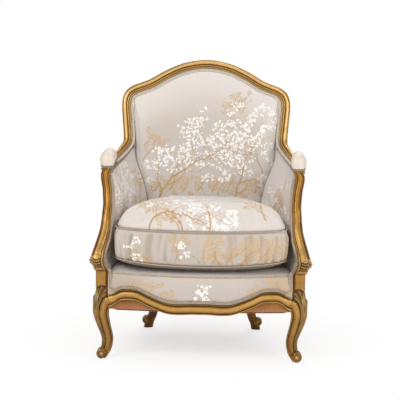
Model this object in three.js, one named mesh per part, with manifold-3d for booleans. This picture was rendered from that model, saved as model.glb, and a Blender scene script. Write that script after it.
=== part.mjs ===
import * as THREE from 'three';
import { mergeVertices } from 'three/addons/utils/BufferGeometryUtils.js';
import Module from 'manifold-3d';

// A closed armchair: carved beech frame, sprung seat, padded back and arms, loose cushion.
// Millimetres. +X is the viewer's right, -Y the front, +Z up. The right half is worked out and
// the left half mirrors it.

const wasm = await Module();
wasm.setup();

// Fits and fineness
const fit = 0.3;
const cutOverrun = 4;
const weldTolerance = 0.001;
const sliverTolerance = 0.004;
const indexTolerance = 1e-6;
const searchSteps = 200;

// Main sizes
const chairHeight = 1032;
const backHalfWidth = 327;
const frontLegX = 324;
const frontLegY = -308;
const backFaceY = 235;
const backSlope = 0.1645;
const backHollow = 45;
const bendHeight = 240;
const backLegSplay = 36;
const backScrollRadius = 12.5;
const backScrollHeight = 27;
const backScrollStand = 4;

// Moulded members of the back
const mouldWidth = 38;
const mouldFront = 14.5;
const mouldBack = 20;
const crestTenonLength = 26;
const crestTenonWidth = 16;
const tenonThick = 10;
const tenonLength = 18;

// Front legs and arm supports
const frontLegHeight = 293;
const kneeHalf = 25.5;
const ankleSet = 19;
const scrollRadius = 18;
const scrollSink = 1;
const stumpBow = 16;
const stumpSweep = 110;
const stumpHalf = 18;
const stumpHalfDepth = 17;
const stumpTenonRadius = 9;

// Arm rails
const armFrontHeight = 625;
const armBackHeight = 704;
const armHalf = 20;
const armHalfHeight = 15;
const armNose = 27;
const armBow = 23;

// Seat rails
const railBottom = 168;
const railTop = 245;
const railThick = 38;
const apronHeight = 159;
const apronRise = 43;
const apronMould = 38;
const apronProud = 12;
const mouldRelief = 6;
const frontBow = 30;
const frontFaceSet = 20;
const railTenonHeight = 44;
const backRailThick = 34;
const blockReach = 52;
const blockHeight = 50;
const blockSet = 4;

// Stay rails
const stayThick = 20;
const backStayThick = 12;
const stayHeight = 30;
const stayBase = 325;

// Webbing, springs and the stuffing over them
const webWidth = 50;
const webThick = 2.5;
const webSpacing = 112;
const webCrossFront = -175;
const webCrossBack = 15;
const webHold = 24;
const springRadius = 38;
const springWaist = 23;
const springWire = 3.8;
const springHeight = 91;
const springTurns = 3.5;
const canvasThick = 2;
const deckTop = 306;
const deckEdgeTop = 281;
const deckEdgeRise = 10;
const clothThick = 1.6;
const clothInset = 12;

// Front border of the seat
const borderBulge = 5;
const borderStand = 9;
const gimpWidth = 10;
const gimpThick = 2;
const weltRadius = 4;

// Back and arm pads
const tackGap = 1.4;
const backPadBehind = 2;
const backPadBulge = 46;
const backPadBase = 268;
const armPadEdge = 28;
const armPadThick = 44;
const coverThick = 2;

// Small arm pads
const restHalf = 26;
const restHeight = 52;
const restEndY = 60;
const restNoseSet = 9;
const restGimpHeight = 9;

// Loose cushion
const cushionThick = 213;
const cushionHalf = 298;
const cushionFrontY = -344;
const cushionBackY = 184;
const cushionEase = 7;

// Pegs
const pegRadius = 4;
const pegLength = 22;
const roundSteps = 12;

const vec = (x, y, z) => new THREE.Vector3(x, y, z);
const mix = THREE.MathUtils.lerp;
const fullTurn = 2 * Math.PI;

function smooth(value) {
  const v = THREE.MathUtils.clamp(value, 0, 1);
  return v * v * (3 - 2 * v);
}

// A row of a table, read between its rows by its first column
function rowAt(rows, share) {
  let k = 1;
  while (k < rows.length - 1 && rows[k][0] < share) k += 1;
  const [low, high] = [rows[k - 1], rows[k]];
  const t = THREE.MathUtils.clamp((share - low[0]) / (high[0] - low[0]), 0, 1);
  return low.map((value, column) => mix(value, high[column], t));
}

function curveThrough(points) {
  return new THREE.CatmullRomCurve3(points);
}

function evenly(count, from = 0, to = 1) {
  return Array.from({ length: count + 1 }, (unused, k) => mix(from, to, k / count));
}

// Closed solids
function solidOf(geometry) {
  const bare = geometry.index ? geometry.clone() : mergeVertices(geometry.clone());
  bare.deleteAttribute('normal');
  bare.deleteAttribute('uv');
  const merged = mergeVertices(bare, weldTolerance);
  const places = merged.attributes.position.array;
  const corners = Array.from(merged.index.array);
  let volume = 0;
  const [a, b, c] = [vec(), vec(), vec()];
  const kept = [];
  for (let k = 0; k < corners.length; k += 3) {
    const [i, j, l] = corners.slice(k, k + 3);
    if (i === j || j === l || l === i) continue;
    kept.push([i, j, l]);
    a.fromArray(places, 3 * i);
    b.fromArray(places, 3 * j);
    c.fromArray(places, 3 * l);
    volume += a.dot(b.cross(c));
  }
  const turned = volume < 0 ? kept.map(([i, j, l]) => [i, l, j]) : kept;
  return new wasm.Manifold(new wasm.Mesh({
    numProp: 3,
    vertProperties: new Float32Array(places),
    triVerts: new Uint32Array(turned.flat()),
  }));
}

function solidFrom(points, triangles) {
  const geometry = new THREE.BufferGeometry();
  geometry.setAttribute('position', new THREE.Float32BufferAttribute(points.flatMap((p) => p.toArray()), 3));
  geometry.setIndex(triangles);
  return solidOf(geometry);
}

// Triangles across a flat ring of points, numbered from first
function capTriangles(ring, first) {
  const normal = vec(0, 0, 0);
  ring.forEach((p, k) => normal.add(p.clone().cross(ring[(k + 1) % ring.length])));
  normal.normalize();
  const across = ring[1].clone().sub(ring[0]);
  across.addScaledVector(normal, -across.dot(normal)).normalize();
  const up = normal.clone().cross(across);
  const flat = ring.map((p) => new THREE.Vector2(p.dot(across), p.dot(up)));
  return THREE.ShapeUtils.triangulateShape(flat, []).map((t) => t.map((k) => k + first));
}

// A skin over rings of points, closed on itself or capped at both ends
function loft(rings, loop = false) {
  const size = rings[0].length;
  const triangles = [];
  const spans = loop ? rings.length : rings.length - 1;
  for (let r = 0; r < spans; r += 1) {
    const next = (r + 1) % rings.length;
    for (let k = 0; k < size; k += 1) {
      const l = (k + 1) % size;
      const [a, b, c, d] = [r * size + k, r * size + l, next * size + l, next * size + k];
      triangles.push(a, b, c, a, c, d);
    }
  }
  if (!loop) {
    capTriangles(rings[0], 0).forEach(([a, b, c]) => triangles.push(a, c, b));
    capTriangles(rings[rings.length - 1], (rings.length - 1) * size).forEach((t) => triangles.push(...t));
  }
  return solidFrom(rings.flat(), triangles);
}

// A slab between two surfaces that share their rim
function slab(faceAt, backAt, acrossShares, upShares) {
  const rows = [];
  for (const t of upShares) {
    const front = acrossShares.map((s) => faceAt(s, t));
    const back = acrossShares.map((s) => backAt(s, t)).reverse();
    rows.push([...front, ...back]);
  }
  const size = rows[0].length;
  const half = acrossShares.length;
  const triangles = [];
  for (let r = 0; r < rows.length - 1; r += 1) {
    for (let k = 0; k < size; k += 1) {
      const l = (k + 1) % size;
      const [a, b, c, d] = [r * size + k, r * size + l, (r + 1) * size + l, (r + 1) * size + k];
      triangles.push(...(k < half ? [a, b, c, a, c, d] : [a, b, d, b, c, d]));
    }
  }
  for (const [r, sign] of [[0, 1], [rows.length - 1, -1]]) {
    for (let k = 0; k < half - 1; k += 1) {
      const [a, b] = [r * size + k, r * size + k + 1];
      const [c, d] = [r * size + size - 2 - k, r * size + size - 1 - k];
      triangles.push(...(sign > 0 ? [a, c, b, a, d, c] : [a, b, c, a, c, d]));
    }
  }
  return solidFrom(rows.flat(), triangles);
}

// A straight bar between two points, width across and height along the up direction
function bar(from, to, width, height, up = vec(0, 0, 1)) {
  const along = to.clone().sub(from);
  const geometry = new THREE.BoxGeometry(width, height, along.length());
  const z = along.clone().normalize();
  const x = up.clone().cross(z).normalize();
  const turn = new THREE.Matrix4().makeBasis(x, z.clone().cross(x), z);
  geometry.applyMatrix4(turn.setPosition(from.clone().add(to).multiplyScalar(0.5)));
  return solidOf(geometry);
}

function pin(from, to, radius) {
  const along = to.clone().sub(from);
  const geometry = new THREE.CylinderGeometry(radius, radius, along.length(), roundSteps);
  const turn = new THREE.Quaternion().setFromUnitVectors(vec(0, 1, 0), along.clone().normalize());
  geometry.applyQuaternion(turn);
  geometry.translate(...from.clone().add(to).multiplyScalar(0.5).toArray());
  return solidOf(geometry);
}

function mirrored(solid) {
  const mesh = solid.getMesh();
  const places = Float32Array.from(mesh.vertProperties, (value, k) => (k % 3 === 0 ? -value : value));
  const corners = Array.from(mesh.triVerts);
  for (let k = 0; k < corners.length; k += 3) [corners[k], corners[k + 1]] = [corners[k + 1], corners[k]];
  return new wasm.Manifold(new wasm.Mesh({
    numProp: 3,
    vertProperties: places,
    triVerts: new Uint32Array(corners),
  }));
}

// A solid with each face moved out by the clearance
function grown(solid, clearance = fit) {
  const mesh = solid.getMesh();
  const places = mesh.vertProperties;
  const corners = mesh.triVerts;
  const count = places.length / 3;
  const at = (k) => vec().fromArray(places, 3 * k);
  const sums = Array.from({ length: count }, () => vec(0, 0, 0));
  const facing = Array.from({ length: count }, () => []);
  for (let k = 0; k < corners.length; k += 3) {
    const ids = [corners[k], corners[k + 1], corners[k + 2]];
    const [a, b, c] = ids.map(at);
    const normal = b.clone().sub(a).cross(c.clone().sub(a)).normalize();
    ids.forEach((id, n) => {
      const [p, q, r] = [at(ids[n]), at(ids[(n + 1) % 3]), at(ids[(n + 2) % 3])];
      sums[id].addScaledVector(normal, q.sub(p).angleTo(r.sub(p)));
      facing[id].push(normal);
    });
  }
  const moved = new Float32Array(places.length);
  const leastLean = 0.45;
  for (let k = 0; k < count; k += 1) {
    const normal = sums[k].normalize();
    const lean = Math.max(leastLean, Math.min(...facing[k].map((n) => n.dot(normal))));
    at(k).addScaledVector(normal, clearance / lean).toArray(moved, 3 * k);
  }
  return new wasm.Manifold(new wasm.Mesh({ numProp: 3, vertProperties: moved, triVerts: corners }));
}

// What is left of a solid beside its neighbours: its main body, without loose offcuts
function trimmed(solid, neighbours, clearance = fit) {
  let left = solid;
  for (const neighbour of neighbours) left = left.subtract(grown(neighbour, clearance));
  return mainBody(left);
}

function mainBody(solid) {
  const bodies = solid.simplify(sliverTolerance).decompose();
  return bodies.reduce((best, body) => (body.volume() > best.volume() ? body : best));
}

const bothSides = (solid) => [solid, mirrored(solid)];

// The back: its outer edge in the front view, from the right foot over the crest to the left foot
const backEdgeShares = [
  [0.692, -0.012], [0.672, 0.022], [0.625, 0.062], [0.632, 0.126], [0.67, 0.199], [0.7125, 0.291],
  [0.774, 0.388], [0.841, 0.48], [0.896, 0.5475], [0.951, 0.6105], [0.969, 0.6686], [0.9725, 0.717],
  [0.988, 0.774], [1, 0.824], [0.988, 0.8566], [0.948, 0.88], [0.8716, 0.898], [0.7706, 0.91],
  [0.6636, 0.9244], [0.5046, 0.9545], [0.2966, 0.9845], [0.08, 0.9993], [0, 1],
];
const shoulderIndex = 14;
const padCornerIndex = 15;
const crestIndex = 17;
const rightEdge = backEdgeShares.map(([x, z]) => vec(x * backHalfWidth, 0, z * chairHeight));
const leftEdge = rightEdge.slice(0, -1).reverse().map((p) => vec(-p.x, 0, p.z));
const backEdge = curveThrough([...rightEdge, ...leftEdge]);
const edgeSpans = rightEdge.length + leftEdge.length - 1;

// Where the front face of the back lies
function backFace(x, z) {
  const hollow = backHollow * (x / backHalfWidth) ** 2;
  const above = backSlope * Math.max(z - bendHeight, 0);
  const below = backLegSplay * (Math.max(bendHeight - z, 0) / bendHeight) ** 2;
  return backFaceY - hollow + above + below;
}

// A point of the back: along the edge, in from the edge, and forward of the face
function onBack(index, inward, forward) {
  const edge = backEdge.getPoint(index / edgeSpans);
  const along = backEdge.getTangent(index / edgeSpans);
  const x = edge.x - along.z * inward;
  const z = edge.z + along.x * inward;
  return vec(x, backFace(x, z) - forward, z);
}

function edgeIndexAt(height) {
  let [low, high] = [0, shoulderIndex];
  while (high - low > indexTolerance) {
    const middle = (low + high) / 2;
    if (backEdge.getPoint(middle / edgeSpans).z < height) low = middle;
    else high = middle;
  }
  return low;
}

// Sections across a member: in from the edge, then forward (plus) or back (minus)
const mouldShares = [
  [0, -1], [0, 0.45], [0.1, 0.62], [0.25, 0.78], [0.45, 1], [0.65, 0.75], [0.78, 0.55], [0.87, 0.55],
  [0.87, 0.07], [1, 0.07], [1, -1],
];
const roundShares = [
  [0.12, -0.92], [0, -0.45], [0, 0.3], [0.08, 0.75], [0.25, 1], [0.5, 1.05], [0.75, 1], [0.92, 0.75],
  [1, 0.3], [1, -0.45], [0.88, -0.92],
];
// Height, then width, front and back of the section, then how round it is
const postSeatShare = 1.2;
const postRowShares = [
  [-0.02, 0.94, 1.3, 1, 1], [0.016, 0.92, 1.25, 0.95, 1], [0.04, 0.87, 1.05, 0.9, 1],
  [0.08, 0.9, 1.1, 0.95, 1], [0.13, 1.04, 1.3, 1.1, 0.8], [0.165, postSeatShare, 1.4, 1.3, 0.4],
  [0.235, postSeatShare, 1.4, 1.3, 0.2], [0.3, 1, 1.1, 1.1, 0.1], [0.4, 1, 1, 1, 0], [1, 1, 1, 1, 0],
];

function memberRing(index) {
  const height = backEdge.getPoint(index / edgeSpans).z / chairHeight;
  const [, width, front, back, roundness] = rowAt(postRowShares, height);
  return mouldShares.map(([u, v], k) => {
    const across = mix(u, roundShares[k][0], roundness) * width * mouldWidth;
    const deep = mix(v, roundShares[k][1], roundness);
    return onBack(index, across, deep > 0 ? deep * front * mouldFront : deep * back * mouldBack);
  });
}

const floorSlab = solidOf(new THREE.BoxGeometry(
  4 * backHalfWidth, 4 * backHalfWidth, 2 * chairHeight,
).translate(0, 0, -chairHeight));

const postSteps = 18;
const crestSteps = 14;
const postStations = evenly(postSteps, 0, crestIndex);
const crestStations = evenly(crestSteps, crestIndex, edgeSpans - crestIndex);

// The scroll that the back foot turns out into
function makeBackScroll() {
  const edge = onBack(edgeIndexAt(backScrollHeight), -backScrollStand, 0);
  return pin(
    vec(edge.x, edge.y + mouldBack - backScrollStand, backScrollHeight),
    vec(edge.x, edge.y - mouldFront, backScrollHeight), backScrollRadius,
  );
}
const backPost = loft(postStations.map(memberRing)).add(makeBackScroll()).subtract(floorSlab);
const crestRail = loft(crestStations.map(memberRing));

// Front legs: height, set of the axis out to the corner, half width
const legTopShare = 0.88;
const legRowShares = [
  [-0.01, -0.55, 0.86], [0.03, -0.6, 0.86], [0.075, -0.78, 0.78], [0.115, -0.92, 0.71], [0.17, -1, 0.715],
  [0.225, -1, 0.73], [0.29, -0.76, 0.79], [0.36, -0.42, 0.845], [0.43, -0.14, 0.92], [0.5, 0.08, 0.97],
  [0.56, 0.08, 1.03], [0.62, 0.05, 1], [0.7, 0, 0.92], [0.8, 0, legTopShare], [1, 0, legTopShare],
];
const legRingSteps = 12;
const squareness = 0.625;

function squareRing(x, y, z, half, halfDepth = half) {
  return evenly(legRingSteps).slice(1).map((share) => {
    const angle = fullTurn * (share - 1 / (2 * legRingSteps));
    const [c, s] = [Math.cos(angle), Math.sin(angle)];
    const dx = Math.sign(c) * Math.abs(c) ** squareness;
    const dy = Math.sign(s) * Math.abs(s) ** squareness;
    return vec(x + half * dx, y + halfDepth * dy, z);
  });
}

function makeFrontLeg() {
  const rings = legRowShares.map(([height, set, half]) => squareRing(
    frontLegX + set * ankleSet, frontLegY - set * ankleSet, height * frontLegHeight, half * kneeHalf,
  ));
  const footX = frontLegX - ankleSet / 2;
  const footHalf = legRowShares[0][2] * kneeHalf;
  const scroll = pin(
    vec(footX + scrollRadius / 2, frontLegY + footHalf, scrollRadius - scrollSink),
    vec(footX + scrollRadius / 2, frontLegY - footHalf, scrollRadius - scrollSink), scrollRadius,
  );
  return loft(rings).add(scroll).subtract(floorSlab);
}
const frontLeg = makeFrontLeg();

// Arm supports: rise, bow out, sweep back, width and depth
const stumpRowShares = [
  [0, 0.3, -0.02, 1.08, 1.1], [0.04, 0.6, -0.1, 1.1, 1.2], [0.118, 1, -0.16, 1.13, 1.4],
  [0.19, 0.88, -0.12, 1.06, 1.25], [0.27, 0.44, 0.03, 1, 1], [0.35, 0, 0.18, 1, 1],
  [0.42, -0.38, 0.32, 1, 1], [0.5, -0.56, 0.46, 1, 1], [0.58, -0.62, 0.57, 1, 1],
  [0.655, -0.69, 0.68, 1, 1], [0.73, -0.53, 0.78, 1, 1], [0.81, -0.38, 0.86, 1, 1],
  [0.89, 0, 0.93, 1, 1], [1, 0.25, 1, 1.02, 1],
];
const stumpRise = armFrontHeight - frontLegHeight;

function stumpCentre(rise) {
  const [, bow, sweep] = rowAt(stumpRowShares, rise);
  const x = frontLegX + bow * stumpBow;
  return vec(x, frontLegY + sweep * stumpSweep, frontLegHeight + fit + rise * (stumpRise - fit));
}

const armStumpWhole = loft(stumpRowShares.map(([rise, , , width, depth]) => {
  const centre = stumpCentre(rise);
  return squareRing(centre.x, centre.y, centre.z, width * stumpHalf, depth * stumpHalfDepth);
}));

// Arm rails: from the nose over the arm support to the middle of the stile
const armBackIndex = edgeIndexAt(armBackHeight);
const armEnd = onBack(armBackIndex, mouldWidth / 2, 0);
const armStart = stumpCentre(1);
const armRowShares = [
  [0.135, 0.31, 0.05], [0.34, 0.78, 0.13], [0.555, 1, 0.24], [0.75, 0.83, 0.45], [0.886, 0.48, 0.7],
  [1, 0, 1],
];
const armPath = curveThrough([
  vec(armStart.x, armStart.y - armNose, armStart.z),
  armStart,
  ...armRowShares.map(([back, bow, rise]) => vec(
    mix(armStart.x, armEnd.x, back) + bow * armBow,
    mix(armStart.y, armEnd.y, back),
    mix(armStart.z, armBackHeight, rise),
  )),
]);
const armSpans = armRowShares.length + 1;

// A point beside a path: out to the side and up, both square to the path
function beside(path, share, side, up) {
  const along = path.getTangent(share);
  const across = along.clone().cross(vec(0, 0, 1)).normalize();
  const over = across.clone().cross(along);
  return path.getPoint(share).addScaledVector(across, side).addScaledVector(over, up);
}

const armSectionShares = [
  [-0.65, 1], [0.65, 1], [0.95, 0.6], [1, 0], [0.85, -0.6], [0.45, -1], [-0.45, -1], [-0.85, -0.6],
  [-1, 0], [-0.95, 0.6],
];
const armNoseShares = [[0, 0.62], [0.045, 0.9], [0.09, 1]];
const wallShares = [0, 0.07, 0.15, 0.25, 0.36, 0.48, 0.6, 0.72, 0.84, 0.93, 1];
const armShare = (s) => mix(1 / armSpans, 1, s);
const armRail = loft([...armNoseShares, ...wallShares.map((s) => [armShare(s), 1])].map(([share, size]) => (
  armSectionShares.map(([s, u]) => beside(armPath, share, s * size * armHalf, u * size * armHalfHeight))
)));

// Seat rails
const apronShares = [
  [0, 0], [0.08, 0], [0.23, -0.05], [0.336, 0.02], [0.438, 0.28], [0.54, 0.6], [0.633, 0.93],
  [0.735, 1], [0.809, 0.93], [0.889, 0.5], [0.94, 0.32],
];
const apronHalf = apronShares.map(([x, rise]) => vec(x * frontLegX, 0, apronHeight + rise * apronRise));
const apronEdge = curveThrough([...apronHalf.slice(1).reverse().map((p) => vec(-p.x, 0, p.z)), ...apronHalf]);

// How far the front of the seat bows forward of the legs
function frontFace(x) {
  return frontLegY - frontFaceSet - frontBow * (1 - (x / frontLegX) ** 2);
}

// A rail's section: back from its face, then its height, given its moulding's lower edge
const railMouldShares = [[0.25, 0], [-0.33, 0.15], [-1, 0.45], [-0.2, 0.72], [0.25, 1]];

function railSection(lower, bottom, thick) {
  return [
    [thick, bottom], [apronProud, bottom], [apronProud, lower],
    ...railMouldShares.map(([back, up]) => [back * mouldRelief, lower + up * apronMould]),
    [apronProud, lower + apronMould], [apronProud, railTop], [thick, railTop],
  ];
}

const apronSteps = 20;
const apronStations = evenly(apronSteps);
const frontRailWhole = loft(apronStations.map((share) => {
  const edge = apronEdge.getPoint(share);
  return railSection(edge.z, railBottom, railThick).map(([back, height]) => vec(
    edge.x, frontFace(edge.x) + back, height,
  ));
}));

const sideRailBottom = railBottom - webThick - fit;
const backSeatIndex = edgeIndexAt(railTop);
const seatCorner = onBack(backSeatIndex, postSeatShare * mouldWidth / 2, 0);
const sidePlanShares = [
  [0, 0], [0.203, -0.03], [0.391, 0.08], [0.579, 0.31], [0.767, 0.62], [0.92, 0.89], [1, 1],
];
const sidePlan = curveThrough(sidePlanShares.map(([back, inward]) => vec(
  mix(frontLegX, seatCorner.x, inward), mix(frontLegY, seatCorner.y, back), 0,
)));
const sideApronShares = [[0, 0.45], [0.1, 0.8], [0.2, 1], [0.45, 0.75], [0.8, 0.95], [1, 0.8]];
const sideRailSteps = 12;
const sideRailEndShares = [0.02, 0.99];

const sideRailWhole = loft(evenly(sideRailSteps, ...sideRailEndShares).map((share) => {
  const lower = apronHeight + rowAt(sideApronShares, share)[1] * apronRise;
  return railSection(lower, sideRailBottom, railThick).map(([back, height]) => (
    beside(sidePlan, share, railThick / 2 - back, 0).setZ(height)
  ));
}));

const crossSteps = 8;

function crossRail(height, top, ahead, behind, half) {
  return loft(evenly(crossSteps, -half, half).map((x) => (
    [[ahead, height], [ahead, top], [-behind, top], [-behind, height]].map(([forward, z]) => (
      vec(x, backFace(x, z) - forward, z)
    ))
  )));
}
const backRailWhole = crossRail(railBottom, railTop, backRailThick - mouldBack, mouldBack, seatCorner.x);
const stayTop = stayBase + stayHeight;
const stayIndex = edgeIndexAt((stayBase + stayTop) / 2);
const stayCorner = onBack(stayIndex, mouldWidth / 2, 0);
const backStayWhole = crossRail(
  stayBase, stayTop, -backPadBehind - 2 * fit, backPadBehind + 2 * fit + backStayThick, stayCorner.x,
);

// The arm wall: a surface between seat rail, arm support, arm rail and stile
const wallBase = railTop + canvasThick + 3 * fit;
const wallLift = armHalfHeight + 2 * fit;

function wallBottom(s) {
  return sidePlan.getPoint(s).setZ(wallBase);
}

function wallTop(s) {
  const point = armPath.getPoint(armShare(s));
  return point.setZ(point.z - wallLift);
}

const wallFrontShares = [0.118, 0.35, 0.58, 0.81];
const wallFrontPath = curveThrough([
  vec(frontLegX, frontLegY, wallBase), vec(frontLegX, frontLegY, frontLegHeight),
  ...wallFrontShares.map(stumpCentre), wallTop(0),
]);

function wallBack(t) {
  const height = mix(wallBase, armBackHeight - wallLift, t);
  return onBack(edgeIndexAt(height), mouldWidth / 2, 0).setZ(height);
}

function armWall(s, t) {
  const point = wallBottom(s).multiplyScalar(1 - t).addScaledVector(wallTop(s), t);
  point.addScaledVector(wallFrontPath.getPoint(t), 1 - s).addScaledVector(wallBack(t), s);
  point.addScaledVector(wallBottom(0), -(1 - s) * (1 - t)).addScaledVector(wallBottom(1), -s * (1 - t));
  return point.addScaledVector(wallTop(0), -(1 - s) * t).addScaledVector(wallTop(1), -s * t);
}

const sideStaySteps = 10;
const sideStayEndShares = [0.02, 0.98];
const sideStayWhole = loft(evenly(sideStaySteps, ...sideStayEndShares).map((s) => {
  const share = (stayBase - wallBase) / (armFrontHeight - wallBase);
  const centre = armWall(s, share);
  return [[-1, 0], [1, 0], [1, 1], [-1, 1]].map(([side, up]) => (
    vec(centre.x + side * stayThick / 2, centre.y, stayBase + up * stayHeight)
  ));
}));

// Wood joints: a member is trimmed by its host, its tenon runs into the host's mortise
const along = (from, to, length) => from.clone().addScaledVector(to.clone().sub(from).normalize(), length);
const crestMiddle = onBack(crestIndex, mouldWidth / 2, 0);
const crestAhead = onBack(crestIndex + 1 / 2, mouldWidth / 2, 0);
const crestTenonEnd = along(crestMiddle, crestAhead, crestTenonLength);
const crestTenon = bar(
  along(crestMiddle, crestAhead, -cutOverrun), crestTenonEnd, crestTenonWidth, tenonThick, vec(0, 1, 0),
);
const tenonHeightMiddle = (railTop + railBottom) / 2;
const legFaceX = frontLegX - legTopShare * kneeHalf;
const legFaceY = frontLegY + legTopShare * kneeHalf;
const frontTenonY = frontLegY - tenonThick / 2 - fit;
const frontTenon = bar(
  vec(legFaceX - railThick / 2, frontTenonY, tenonHeightMiddle),
  vec(legFaceX + tenonLength, frontTenonY, tenonHeightMiddle), tenonThick, railTenonHeight,
);
const sideTenonX = frontLegX + tenonThick / 2 + fit;
const sideTenon = bar(
  vec(sideTenonX, legFaceY + railThick / 2, tenonHeightMiddle),
  vec(sideTenonX, legFaceY - tenonLength, tenonHeightMiddle), tenonThick, railTenonHeight,
);
const stumpTenon = pin(
  vec(frontLegX, frontLegY, frontLegHeight + stumpTenonRadius),
  vec(frontLegX, frontLegY, railTop + 2 * fit), stumpTenonRadius,
);
const stumpTopTenon = pin(
  armStart.clone().setZ(armStart.z - armHalfHeight - stumpTenonRadius),
  armStart.clone().setZ(armStart.z + armHalfHeight / 3), stumpTenonRadius,
);
const backTenonX = seatCorner.x - postSeatShare * mouldWidth / 2;
const backTenonY = seatCorner.y + tenonThick / 2 + fit;
const backTenon = bar(
  vec(backTenonX - railThick / 2, backTenonY, tenonHeightMiddle),
  vec(backTenonX + tenonLength, backTenonY, tenonHeightMiddle), tenonThick, railTenonHeight,
);
const armTenonEnd = onBack(armBackIndex, mouldWidth / 2, -mouldBack / 2);
const armTenonShare = 0.3;
const armTenon = bar(armPath.getPoint(1 - armTenonShare / armSpans), armTenonEnd, tenonThick, armHalfHeight);

const frontRail = trimmed(frontRailWhole, bothSides(frontLeg)).add(frontTenon).add(mirrored(frontTenon));
const sideRail = trimmed(sideRailWhole, [frontLeg, backPost, backRailWhole]).add(sideTenon);
const backRail = trimmed(backRailWhole, bothSides(backPost)).add(backTenon).add(mirrored(backTenon));
const armRailTrimmed = trimmed(armRail, [backPost]).add(armTenon);
const armStumpBody = trimmed(armStumpWhole, [frontLeg, armRail]).add(stumpTenon).add(stumpTopTenon);
const sideStay = trimmed(sideStayWhole, [frontLeg, armStumpWhole, backPost]);
const backStay = trimmed(backStayWhole, bothSides(backPost));
const postTenoned = backPost.add(crestTenon);

// Pegs through the crest tenons, driven from behind
const pegCentre = along(crestMiddle, crestAhead, crestTenonLength / 2);
const pegTail = vec(pegCentre.x, backFace(pegCentre.x, pegCentre.z) + mouldBack, pegCentre.z);
const crestPeg = pin(pegTail, pegTail.clone().setY(pegTail.y - pegLength), pegRadius);

const frontLegCut = mainBody([frontTenon, sideTenon, stumpTenon].reduce(
  (leg, tenon) => leg.subtract(grown(tenon)), frontLeg,
));
const backPostCut = mainBody([backTenon, armTenon, crestPeg].reduce(
  (post, tenon) => post.subtract(grown(tenon)), postTenoned,
));
const crestCut = trimmed(crestRail, [...bothSides(postTenoned), ...bothSides(crestPeg)]);
const armRailCut = mainBody(armRailTrimmed.subtract(grown(stumpTopTenon)));
const armStumpCut = mainBody(armStumpBody);

// Corner blocks glued inside the four corners of the seat frame
function cornerBlock(x, y, towardsY, neighbours) {
  const outline = new THREE.Shape([
    new THREE.Vector2(x, y),
    new THREE.Vector2(x - 2 * blockReach, y),
    new THREE.Vector2(x - 2 * blockReach, y + towardsY * blockReach / 2),
    new THREE.Vector2(x - blockReach / 2, y + towardsY * 2 * blockReach),
    new THREE.Vector2(x, y + towardsY * 2 * blockReach),
  ]);
  const geometry = new THREE.ExtrudeGeometry(outline, { depth: blockHeight, bevelEnabled: false });
  geometry.translate(0, 0, railTop - blockSet - blockHeight);
  return trimmed(solidOf(geometry), neighbours);
}
const frontBlock = cornerBlock(
  frontLegX - railThick / 2, frontFace(frontLegX) + railThick / 2, 1, [frontRail, sideRail, frontLeg],
);
const backBlock = cornerBlock(
  seatCorner.x, seatCorner.y, -1, [backRail, sideRail, backPost],
);

// Webbing under the rails
function webLong(x) {
  const from = vec(x, frontFace(x) + railThick - webHold, railBottom - fit - webThick / 2);
  const to = vec(x, backFace(x, railBottom) + webHold - mouldBack / 2, railBottom - fit - webThick / 2);
  return bar(from, to, webWidth, webThick);
}

// The point of a path that is nearest to a depth
function pathShareAt(path, y) {
  return evenly(searchSteps).reduce((best, share) => (
    Math.abs(path.getPoint(share).y - y) < Math.abs(path.getPoint(best).y - y) ? share : best
  ));
}

function webCross(y) {
  const height = sideRailBottom - fit - webThick / 2;
  const half = sidePlan.getPoint(pathShareAt(sidePlan, y)).x - railThick / 2 + webHold;
  return bar(vec(-half, y, height), vec(half, y, height), webWidth, webThick);
}

// A waisted coil spring, wound as one wire
const springBase = railBottom + springWire / 2;
const coilSteps = 8;
const wireSides = 5;

function springPoint(share) {
  const waist = Math.sin(Math.PI * share) ** 2;
  const radius = mix(springRadius, springWaist, waist) - springWire / 2;
  const angle = fullTurn * springTurns * share;
  return vec(radius * Math.cos(angle), radius * Math.sin(angle), share * (springHeight - springWire));
}

const springShares = evenly(springTurns * coilSteps);
const seatSpring = loft(springShares.map((share) => {
  const angle = fullTurn * springTurns * share;
  const out = vec(Math.cos(angle), Math.sin(angle), 0);
  return evenly(wireSides).slice(1).map((turn) => springPoint(share)
    .addScaledVector(out, Math.cos(fullTurn * turn) * springWire / 2)
    .add(vec(0, 0, Math.sin(fullTurn * turn) * springWire / 2)));
}));

function leastGap(points, steps, wire) {
  let least = Infinity;
  points.forEach((p, i) => {
    for (let j = i + steps; j < points.length; j += 1) {
      least = Math.min(least, p.distanceTo(points[j]) - wire);
    }
  });
  return least;
}
console.log('least gap of a seat spring to itself, mm:',
  leastGap(springShares.map(springPoint), coilSteps / 2, springWire).toFixed(2));

// How thick an arm pad is: thinner along its front edge and under the arm rail
const padEaseShare = 0.3;

function armPadInset(s, t) {
  const full = mix(armPadEdge, armPadThick, smooth(s / padEaseShare));
  return mix(armHalf + fit, full, smooth((1 - t) / padEaseShare));
}

// A point of the seat's plan: across from -1 to 1, back from the front rail to the back
function seatPlanPoint(across, back, inset) {
  const plan = sidePlan.getPoint(back);
  const front = frontFace(across * plan.x) + apronProud + 3 * fit;
  const y = mix(front, backFace(across * plan.x, railTop), back);
  return vec(across * (plan.x - inset), y, 0);
}

const canvasTop = springBase + springHeight - springWire / 2 + fit + canvasThick;
const canvasRiseShare = 0.25;
const deckRiseShare = 0.14;

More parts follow.
